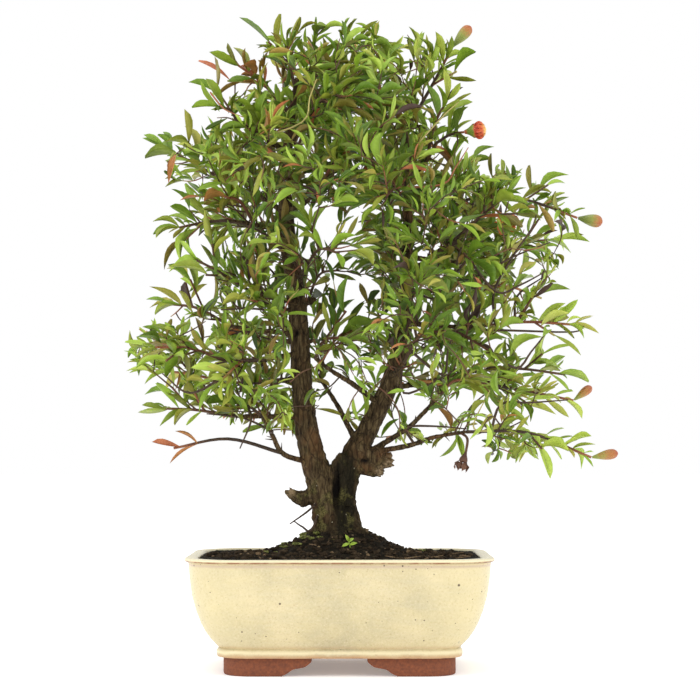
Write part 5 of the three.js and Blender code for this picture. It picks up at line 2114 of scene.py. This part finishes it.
    def seedling(self) -> Shape:
        """Gives the seedling in front of the trunk: a short stalk with four narrow leaves."""
        foot, rise = self.on_top(7.4, -35), Vector((-1, -1, 5))
        shape = tube(Stem([foot, foot + rise * 0.5, foot + rise], [0.4, 0.3], 5, 3), 6, 4)
        blade = LeafForm(droop=0.5).shape()
        for share, turn, long in ((0.5, 0.2, 6), (0.7, 3.7, 6), (0.97, 0.6, 4.5), (0.97, 2.0, 6)):
            heading = Vector((math.cos(turn), -0.35, 0.1 + 0.8 * math.sin(turn))).normalized()
            face = UP * 0.4 - heading * 0.2 - FORTH
            leaf = make_leaf(foot + rise * share, heading, face, long, 2.3)
            copy = bmesh.new()
            copy.from_mesh(blade)
            bmesh.ops.transform(copy, matrix=leaf.matrix(), verts=copy.verts)
            append(shape, copy)
        bpy.data.meshes.remove(blade)
        tone = shape.verts.layers.float.new("tone")
        for vert in shape.verts:
            vert[tone] = 0.78
        return shape

    def build(self, bench: Bench, finishes: Finishes, pot: Pot) -> None:
        """Makes the soil and what lies on it.

        Args:
            bench: Makes the pieces.
            finishes: Makes the finishes.
            pot: The pot.
        """
        seedling_skin = finishes.leaf("seedling_skin")
        for name, shape, sharp_angle, finish, slot, nodes in (
            ("potting_mix", self.body(pot), 80, finishes.soil(), "potting_soil", ["soil"]),
            ("loose_crumbs", self.crumbs(pot), 30, finishes.crumbs(), "potting_soil", ()),
            ("moss_cushions", self.moss(), 80, finishes.moss(), "leaf", ()),
            ("seedling", self.seedling(), 38, seedling_skin, "leaf", ()),
        ):
            shade_smooth(shape, math.radians(sharp_angle))
            bench.piece(name, shape, finish, slot, nodes)


# ---- Old wood ----


@dataclass
class OldWood:
    """The two trunks, the stubs at their fork, the roots that show and the limbs."""

    voxel: float = 1.05
    bark_depth: float = 0.14
    most_depth: float = 1.5
    knots: tuple = (
        (-28, -9, 269, 4.2), (-32, -5, 262, 3.2), (-20, -8, 262, 3.5), (29, -8, 155, 3.6), (16, -8, 157, 3.6),
        (35, -6, 151, 3), (-9, -11, 122, 3.4), (19, -6, 141, 4), (44, -6, 236, 3.6), (-20, -9, 152, 3.8),
        (-29, -9, 120.5, 4.8), (-26, -8, 118, 4.2), (18, -9, 97, 3),
        (23, -2, 91, 4.4), (-17, -4, 107, 3.4), (8, -11, 118, 4.4), (-31, 4, 291, 4.2),
        (38, -7, 199, 3.6), (-20, 4, 128, 3.2), (10, 9, 132, 4), (-8, 11, 140, 5),
    )
    spurs: tuple = (
        ((-25, -3, 232), (-20, -6, 233), (-15.5, -8, 235)), ((40, -4, 214), (47, -9, 217), (50, -11, 221)),
        ((-33, 2, 254), (-40, -4, 257), (-43, -6, 261)), ((-16, -4, 141), (-24, -10, 144), (-27, -12, 149)),
    )
    # Hollows in the front of the wood, dented in and painted near black as shade: place, half width, half
    # height and depth
    hollows: tuple = (
        (-2.4, 129, 2.4, 17, 3.4), (-31.5, 239, 2.3, 2.8, 2.2), (17, 147, 4, 2.4, 2.4),
        (41, 226, 1.8, 3.4, 1.6),
    )
    splinters: float = 4.4

    def rough_body(self) -> Shape:
        """Gives all the wood as overlapping tubes and knots."""
        shape = bmesh.new()

        def ripple(share: float, angle: float) -> float:
            """Gives the solids' ridges."""
            return 1 + 0.07 * (math.cos(3 * angle + 5 * share) + 0.6 * math.cos(5 * angle - 9 * share))

        for name, stem in WOOD.items():
            thick = name in TRUNKS
            append(shape, tube(stem, 28 if thick else 12, 64 if thick else 16, ripple if thick else None))
        for stem in STUB_STEMS:
            append(shape, tube(stem, 20, 16, ripple))
        for spur in self.spurs:
            append(shape, tube(Stem(spur, (2.6, 1.5, 0.5), 6, 3), 8, 6))
        for x, y, z, size in self.knots:
            knot = bmesh.new()
            at = Matrix.Translation((x, y, z))
            bmesh.ops.create_icosphere(knot, subdivisions=2, radius=size, matrix=at)
            append(shape, knot)
        return shape

    def skin(self) -> Shape:
        """Gives the wood as one skin."""

        def build(worked: Piece) -> None:
            """Adds the remesh and a light smoothing of the joins."""
            remesh = worked.modifiers.new("skin", "REMESH")
            remesh.mode, remesh.voxel_size = "VOXEL", self.voxel
            smooth = worked.modifiers.new("ease", "SMOOTH")
            smooth.factor, smooth.iterations = 0.5, 3

        return evaluated(self.rough_body(), build)

    def thickness(self) -> tuple[KDTree, list[float]]:
        """Gives places in the middle of the wood and, by their index, its radius there."""
        spots = [(stem, step / 40) for stem in (*WOOD.values(), *STUB_STEMS) for step in range(41)]
        places = [stem.at(share) for stem, share in spots]
        return tree_of(places), [stem.radius(share) for stem, share in spots]

    def relief(self, place: Vector) -> float:
        """Gives the bark's relief at a place, round zero.

        Args:
            place: The place.

        Returns:
            The relief, as a share of the bark's depth.
        """
        grain = Vector((place.x * 0.34, place.y * 0.34, place.z * 0.075))
        ridges = noise.ridged_multi_fractal(grain, 0.9, 2.1, 4, 1.0, 2.0)
        flakes = noise.voronoi(Vector((place.x * 0.17, place.y * 0.17, place.z * 0.06)))[0]
        crack = clamp((flakes[1] - flakes[0]) * 4)
        return 0.42 * (ridges - 1.1) + 0.75 * (crack - 0.75)

    def hollowed(self, place: Vector) -> float:
        """Gives how far inside one of the hollows a place lies: it sets the dent and the painted shade there.
        """
        return max(clamp(1.5 - 1.2 * math.hypot((place.x - x) / wide, (place.z - z) / high))
                   for x, z, wide, high, _ in self.hollows)

    def deepest(self, place: Vector) -> float:
        """Gives the depth of the nearest of the hollows."""
        return min(self.hollows, key=lambda hole: math.hypot(place.x - hole[0], place.z - hole[1]))[4]

    def build(self, bench: Bench, finishes: Finishes) -> None:
        """Makes the old wood.

        Args:
            bench: Makes the pieces.
            finishes: Makes the finishes.
        """
        shape = self.skin()
        tree, radii = self.thickness()
        shape.normal_update()
        sawn = shape.verts.layers.float.new("sawn")
        hollow_and_shade = shape.verts.layers.float.new("hollow_and_shade")
        ends = [(stem.at(1), stem.radius(1) + 1, stem.direction(1)) for stem in STUB_STEMS[:3]]
        ends.append((Vector((20, -10, 98)), 0.6, RIGHT))
        moved = []
        for vert in shape.verts:
            _, index, away = tree.find(vert.co)
            depth = min(max(radii[index], away * 0.6) * self.bark_depth, self.most_depth)
            cut, way = max(((clamp(1.6 - (vert.co - end).length / (radius + 1.2)), toward)
                            for end, radius, toward in ends), key=lambda found: found[0])
            vert[sawn] = clamp((cut - 0.3) * 1.6 * (0.8 + 1.5 * noise.noise(vert.co * 0.5)))
            # Inside the hollows the wood is dented and, in the bark, painted near black as shade.
            vert[hollow_and_shade] = self.hollowed(vert.co) if vert.normal.y < 0.2 else 0
            lift = self.relief(vert.co) * depth * (1 + cut * 0.6)
            shift = vert.normal * (lift - vert[hollow_and_shade] * self.deepest(vert.co))
            moved.append(shift + way * (cut * self.splinters * noise.noise(vert.co * 0.45)))
        for vert, shift in zip(shape.verts, moved):
            vert.co += shift
        shade_smooth(shape, math.radians(75))
        bench.piece("old_wood", shape, finishes.bark(), "bark", ["trunk"])


# ---- Twigs and leaves ----


@dataclass(frozen=True)
class LeafForm:
    """One way that a leaf grows. Its bends are shares of its length, and its sweep of its width."""

    widest: float = 0.5
    fold: float = 0.16
    droop: float = 0.36
    twist: float = 0.0
    wave: float = 0.0
    sweep: float = 0.0
    thickness: float = 0.012
    fullness: float = 0.8
    tip: float = 0.012

    def half_width(self, along: float) -> float:
        """Gives half the blade's width at a share of its length, for a blade of unit width."""
        bent = along ** (math.log(0.5) / math.log(self.widest))
        stalk = clamp(along / 0.12, 0.12)
        return 0.5 * stalk * max(math.sin(math.pi * bent), 0) ** self.fullness

    def shape(self) -> Mesh:
        """Gives the leaf of unit length and width, closed, as a mesh.

        Returns:
            The mesh, with its UV map and hard margins.
        """
        leaf = bmesh.new()
        leaf.loops.layers.uv.new("blade")
        bmesh.ops.create_grid(leaf, x_segments=2, y_segments=6, size=0.5, calc_uvs=True)
        for vert in leaf.verts:
            across, along = vert.co.x * 2, vert.co.y + 0.5
            half = self.half_width(along) if 0 < along < 1 else self.tip if along > 0.5 else 0.012
            ripple = self.wave * math.sin(along * 11 + across) * abs(across)
            lift = self.droop * along * (1 - along) + self.fold * abs(across) * half + ripple
            turn = self.twist * along
            swept = across * half * math.cos(turn) + self.sweep * along * along
            vert.co = (swept, along, lift + across * half * math.sin(turn) * 0.3)
        under = bmesh.ops.duplicate(leaf, geom=[*leaf.verts, *leaf.edges, *leaf.faces])["geom"]
        bmesh.ops.reverse_faces(leaf, faces=[part for part in under if isinstance(part, bmesh.types.BMFace)])
        middle = [part for part in under if isinstance(part, bmesh.types.BMVert) and not part.is_boundary]
        bmesh.ops.translate(leaf, verts=middle, vec=(0, 0, -self.thickness))
        bmesh.ops.remove_doubles(leaf, verts=leaf.verts, dist=1e-5)
        for face in leaf.faces:
            face.smooth = True
        for edge in leaf.edges:
            edge.smooth = edge.calc_face_angle(0) < math.radians(90)
        return as_mesh("leaf_form", leaf)


LEAF_FORMS = (
    LeafForm(0.5, 0.18, 0.3, sweep=0.3), LeafForm(0.66, 0.12, 0.2, sweep=-0.4, fullness=0.55, tip=0.17),
    LeafForm(0.46, 0.3, 0.42, 0.3, sweep=0.8, fullness=1), LeafForm(0.64, 0.2, 0.5, 0.5, sweep=-0.9),
    LeafForm(0.55, 0.24, 0.25, -0.7, 0.010, 0.5),
    LeafForm(0.6, 0.5, 0.35, 0.4, 0.012, -0.6, fullness=0.6, tip=0.14),
    LeafForm(0.6, 0.3, -0.25, -0.4, 0.008, 0.7), LeafForm(0.44, 0.34, 0.6, 0.6, sweep=-0.5, fullness=1.1),
)


@dataclass
class Foliage:
    """The leaves, one piece a spray and a few for the inner growth, and all the twigs in one piece."""

    sprays: list[Leafage]
    inner: list[Leafage]
    thorns: int = 5

    def leaves(self, growths: list[Leafage], forms: list[Mesh]) -> Shape:
        """Gives the leaves of some growths.

        Args:
            growths: The growths.
            forms: The leaf's forms, of unit size.

        Returns:
            The shape.
        """
        shape = bmesh.new()
        tone = shape.verts.layers.float.new("tone")
        blush = shape.verts.layers.float.new("blush")
        for growth in growths:
            for order, leaf in enumerate(growth.leaves):
                before = len(shape.verts)
                shape.from_mesh(forms[int(draw(growth.number, order, 51) * len(forms))])
                shape.verts.ensure_lookup_table()
                blade = shape.verts[before:]
                bmesh.ops.transform(shape, matrix=leaf.matrix(), verts=blade)
                for vert in blade:
                    vert[tone] = leaf.tone
                    vert[blush] = leaf.blush
        return shape

    def bare_twig(self, bends: list[Vector], thick: float) -> Stem:
        """Gives a twig without leaves.

        Args:
            bends: Its bends and its tip.
            thick: Its radius where it leaves the wood.

        Returns:
            The twig, from a limb or main twig that lies near its first bend.
        """
        carriers = [*WOOD.values(), *(growth.main for growth in self.sprays)]
        roots = [stem.at(step / 10) for stem in carriers for step in range(2, 10)]
        heading = (bends[1] - bends[0]).normalized()

        def detour(place: Vector) -> float:
            """Gives how far a root is from the first bend, and more where the twig would turn back."""
            way = bends[0] - place
            return way.length * (1.25 - 0.5 * way.normalized().dot(heading))

        root = min(roots, key=detour)
        return Stem([root, *bends], (thick, thick * 0.8, thick * 0.4), 5, 6)

    def twigs(self) -> Shape:
        """Gives all the twigs, darker where they are older."""
        shape = bmesh.new()
        youth = shape.verts.layers.float.new("youth")
        for growth in [*self.sprays, *self.inner]:
            fresh = 0.7 if growth.spray and growth.spray.young else 0.25 * draw(growth.number, 55)
            stems = [(growth.main, 6, 12, 0.0)] if growth.spray else []
            stems += [(growth.main, 5, 7, 0.1)] if growth.number >= FIRST_FILLING else []
            stems += [(stem, 5, 3, 0.15) for stem in growth.sides]
            stems += [(stem, 5, 4, 0.2) for stem in growth.fine]
            for order, (stem, sides, rings, start) in enumerate(stems):
                lot = draw(growth.number, order, 56)
                for vert in append(shape, tube(stem, sides, rings)):
                    far = (vert.co - stem.at(0)).length / max(stem.length(), 1)
                    if growth.spray and (growth.spray.flower or growth.spray.bare > 0.5) and order == 0:
                        vert[youth] = clamp((far - 0.7) * 2.2)
                        continue
                    redder = 1.0 if lot > 0.94 else 0.6 if lot > 0.84 else 0.05
                    vert[youth] = clamp((start + far * 0.8) * (fresh + redder))
        for lines, thick, young in ((DRY_TWIGS, 1.0, (0, 0)), (YOUNG_SHOOTS, 0.7, (1, 0.6))):
            for order, (deep, *bends) in enumerate(lines):
                stem = self.bare_twig([Growth.laid(x, deep, z) for x, z in bends], thick)
                for vert in append(shape, tube(stem, 6, 12)):
                    vert[youth] = young[order % 2]
        for name in LIMBS:
            for order in range(self.thorns):
                stem, share = WOOD[name], 0.2 + 0.7 * draw(len(name), order, 57)
                outward = stem.around(share, 6 * draw(len(name), order, 58)) + stem.direction(share) * 0.4
                long = stem.radius(share) + 2 + 3 * draw(len(name), order, 59)
                thorn = Stem([stem.at(share), stem.at(share) + outward * long], (0.7, 0.15), 4, 1)
                append(shape, tube(thorn, 4, 1))
        for flower in FLOWERS:
            if flower.limb:
                stalk = Stem([WOOD[flower.limb].at(flower.at), flower.bend, flower.base], [1, 0.9], 4, 3)
                for vert in append(shape, tube(stalk, 6, 10)):
                    vert[youth] = 0.1 if flower.bloom is Bloom.WITHERED else 0.6
        return shape

    def build(self, bench: Bench, finishes: Finishes) -> None:
        """Makes the twigs and the leaves.

        Args:
            bench: Makes the pieces.
            finishes: Makes the finishes.
        """
        twigs = self.twigs()
        shade_smooth(twigs, math.radians(75))
        bench.piece("young_twigs", twigs, finishes.twig(), "bark")
        forms = [form.shape() for form in LEAF_FORMS]
        skin, young_skin = finishes.leaf(), finishes.leaf("young_leaf_skin")
        for growth in self.sprays:
            name, young = growth.name(), growth.spray.young
            bench.piece(f"leaves_{name}", self.leaves([growth], forms), young_skin if young else skin,
                        "young_leaf" if young else "leaf", [f"spray_{name}"])
        for place in sorted({growth.place for growth in self.inner}):
            there = [growth for growth in self.inner if growth.place == place]
            bench.piece(f"inner_leaves_{place}", self.leaves(there, forms), skin, "leaf")
        LOG.info("leaves in all: %d", sum(len(growth.leaves) for growth in [*self.sprays, *self.inner]))


# ---- Flowers ----


@dataclass
class Blossoms:
    """The buds, the opening bud, the half hidden flower and the withered one."""

    plans: list[Leafage]
    sides: int = 24
    closed: tuple = (
        (0.24, 0), (0.30, 0.05), (0.44, 0.14), (0.62, 0.25), (0.78, 0.36), (0.90, 0.47), (0.97, 0.57),
        (1.0, 0.68), (0.95, 0.79), (0.82, 0.88), (0.58, 0.95), (0.22, 1.0),
    )
    ball: tuple = (
        (0.50, 0.40), (0.74, 0.46), (0.88, 0.56), (0.92, 0.67), (0.86, 0.79), (0.70, 0.90), (0.44, 0.98),
        (0.14, 1.02),
    )
    cup: tuple = ((0.26, 0), (0.36, 0.1), (0.5, 0.2), (0.82, 0.34), (1.0, 0.46), (0.98, 0.56), (0.6, 0.6))
    gap: float = 0.6
    slender: float = 3.5
    slender_start: float = 0.45

    def body(self, flower: Flower, profile: tuple, ribs: float) -> Shape:
        """Gives a round body with six ribs towards its end, standing on the origin.

        Args:
            flower: The flower.
            profile: Its outline: shares of its girth and of its length.
            ribs: How deep its ribs are, as a share of its girth.

        Returns:
            The closed body.
        """
        rings = []
        for share, rise in profile:
            corners = []
            for side in range(self.sides):
                angle = 2 * math.pi * side / self.sides
                rib = 1 + ribs * clamp(rise * 1.6 - 0.4) * math.cos(6 * angle)
                reach = share * flower.girth * rib
                x, y = reach * math.cos(angle), reach * math.sin(angle)
                corners.append(Vector((x, y, rise * flower.length)))
            rings.append(corners)
        return loft(rings)

    def petals(self, flower: Flower, count: int, foot: float, lean: float, long: float, wide: float,
               crumple: float) -> Shape:
        """Gives a ring of petals or lobes round the flower's axis.

        Args:
            flower: The flower.
            count: How many there are.
            foot: How far up the flower they start, as a share of its length.
            lean: How far they lean out.
            long: Their length, as a share of the flower's.
            wide: Their width, as a share of its girth.
            crumple: How much they are crumpled, in millimetres.

        Returns:
            The shape.
        """
        shape = bmesh.new()
        blade = LeafForm(0.6, 0.2, 0.8).shape()
        for petal in range(count):
            outward = round_about(UP, 2 * math.pi * petal / count)
            base = UP * (flower.length * foot) + outward * (flower.girth * 0.5)
            heading = (UP + outward * lean).normalized()
            leaf = make_leaf(base, heading, outward, flower.length * long, flower.girth * wide)
            copy = bmesh.new()
            copy.from_mesh(blade)
            bmesh.ops.subdivide_edges(copy, edges=copy.edges, cuts=1, use_grid_fill=True)
            bmesh.ops.transform(copy, matrix=leaf.matrix(), verts=copy.verts)
            for vert in copy.verts:
                vert.co += noise.noise_vector(vert.co * 0.5 + Vector((petal * 5, 0, 0))) * crumple
            append(shape, copy)
        bpy.data.meshes.remove(blade)
        return shape

    def shape(self, flower: Flower) -> Shape:
        """Gives a flower's shape, standing on the origin.

        Args:
            flower: The flower.

        Returns:
            The shape.
        """
        if flower.bloom is Bloom.CLOSED:
            return self.body(flower, self.closed, 0.12)
        if flower.bloom is Bloom.OPENING:
            shape = self.body(flower, self.cup, 0.05)
            append(shape, self.petals(flower, 6, 0.30, 0.42, 0.34, 0.8, 0.1))
            append(shape, self.body(flower, self.ball, 0.1))
            for layer, (lean, long) in enumerate(((0.16, 0.58), (0.02, 0.62))):
                petals = self.petals(flower, 6, 0.38, lean, long, 1.3 - 0.2 * layer, 0.25)
                rotate(petals, 0.5 * layer + 0.3)
                append(shape, petals)
            return shape
        withered = flower.bloom is Bloom.WITHERED
        shape = self.body(flower, self.cup, 0.12 if withered else 0.05)
        append(shape, self.petals(flower, 4 if withered else 6, 0.5, 0.3 if withered else 0.75,
                                  0.62 if withered else 0.85, 1.1 if withered else 1.35, 0.8))
        inner = self.petals(flower, 5, 0.5, 0.1 if withered else 0.35, 0.5 if withered else 0.75, 1.1, 0.9)
        rotate(inner, 0.6)
        append(shape, inner)
        return shape

    def build(self, bench: Bench, finishes: Finishes) -> None:
        """Makes the flowers, each in its place.

        Args:
            bench: Makes the pieces.
            finishes: Makes the finishes.
        """
        skins = {bloom: finishes.bloom(bloom) for bloom in Bloom}
        slots = {Bloom.OPEN: "petal", Bloom.WITHERED: "withered_petal"}
        ends = {plan.spray.flower: plan.main.at(1) for plan in self.plans}
        for flower in FLOWERS:
            shape = self.shape(flower)
            rise = shape.verts.layers.float.new("rise")
            start = self.slender_start if flower.girth < self.slender else 0
            for vert in shape.verts:
                vert[rise] = clamp(start + (1 - start) * vert.co.z / flower.length)
            toward = Vector(flower.toward).normalized()
            base = Vector(flower.base) if flower.limb else ends[flower.node] + toward * self.gap
            upright = UP.rotation_difference(toward).to_matrix().to_4x4()
            bmesh.ops.transform(shape, matrix=Matrix.Translation(base) @ upright, verts=shape.verts)
            shade_smooth(shape, math.radians(60))
            slot = slots.get(flower.bloom, "bud")
            bench.piece(flower.piece, shape, skins[flower.bloom], slot, [flower.node])


# ---- The studio ----


@dataclass
class Studio:
    """The plain floor, the soft light and the camera."""

    target: Triple = (7.2, 0, 227)
    lens: float = 100
    sensor: float = 36

    def camera(self, bench: Bench) -> None:
        """Places the camera.

        Args:
            bench: Makes the pieces.
        """
        data = bpy.data.cameras.new("camera")
        data.lens, data.sensor_width = self.lens, self.sensor
        data.clip_start, data.clip_end = 0.05, 50
        camera = put_in_scene("camera", data)
        eye, target = (bench.to_frame @ Vector(place) for place in (EYE, self.target))
        camera.location = eye
        camera.rotation_euler = (target - eye).to_track_quat("-Z", "Y").to_euler()
        bpy.context.scene.camera = camera

    def floor(self, bench: Bench, finishes: Finishes) -> None:
        """Lays the floor.

        Args:
            bench: Makes the pieces; it is not used.
            finishes: Makes the finishes.
        """
        shape = bmesh.new()
        bmesh.ops.create_grid(shape, x_segments=8, y_segments=8, size=9)
        mesh = as_mesh("studio_floor", shape)
        mesh.materials.append(finishes.floor())
        put_in_scene("studio_floor", mesh)

    def lamp(self, name: str, place: Triple, size: float, power: float) -> None:
        """Hangs a soft square lamp that looks at the tree.

        Args:
            name: Its name.
            place: Where it hangs, in metres.
            size: Its side, in metres.
            power: Its power, in watts.
        """
        data = bpy.data.lights.new(name, "AREA")
        data.shape, data.size, data.energy = "SQUARE", size, power
        lamp = put_in_scene(name, data)
        lamp.location = place
        lamp.rotation_euler = (Vector((0, 0, 0.22)) - Vector(place)).to_track_quat("-Z", "Y").to_euler()

    def build(self, bench: Bench, finishes: Finishes) -> None:
        """Sets up the floor, the light and the camera.

        Args:
            bench: Makes the pieces.
            finishes: Makes the finishes.
        """
        self.floor(bench, finishes)
        self.camera(bench)
        self.lamp("left", (-1.5, -0.9, 1.0), 0.9, 11)
        self.lamp("right", (1.6, -0.8, 1.0), 0.9, 9)
        self.lamp("top", (-0.1, -0.2, 2.0), 0.9, 9)
        world = bpy.data.worlds.new("studio")
        world.use_nodes = True
        world.node_tree.nodes["Background"].inputs["Color"].default_value = (1, 1, 1, 1)
        world.node_tree.nodes["Background"].inputs["Strength"].default_value = 1.0
        bpy.context.scene.world = world
        bpy.context.scene.view_settings.view_transform = "Standard"


def main() -> None:
    """Builds every part of the model in order."""
    noise.seed_set(NOISE_SEED)
    bench = Bench()
    finishes = Finishes()
    Studio().build(bench, finishes)
    pot = Pot()
    pot.build(bench, finishes)
    Soil().build(bench, finishes, pot)
    OldWood().build(bench, finishes)
    sprays, inner = Growth().grow()
    Foliage(sprays, inner).build(bench, finishes)
    Blossoms(sprays).build(bench, finishes)
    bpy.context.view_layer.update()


if __name__ == "__main__":
    main()
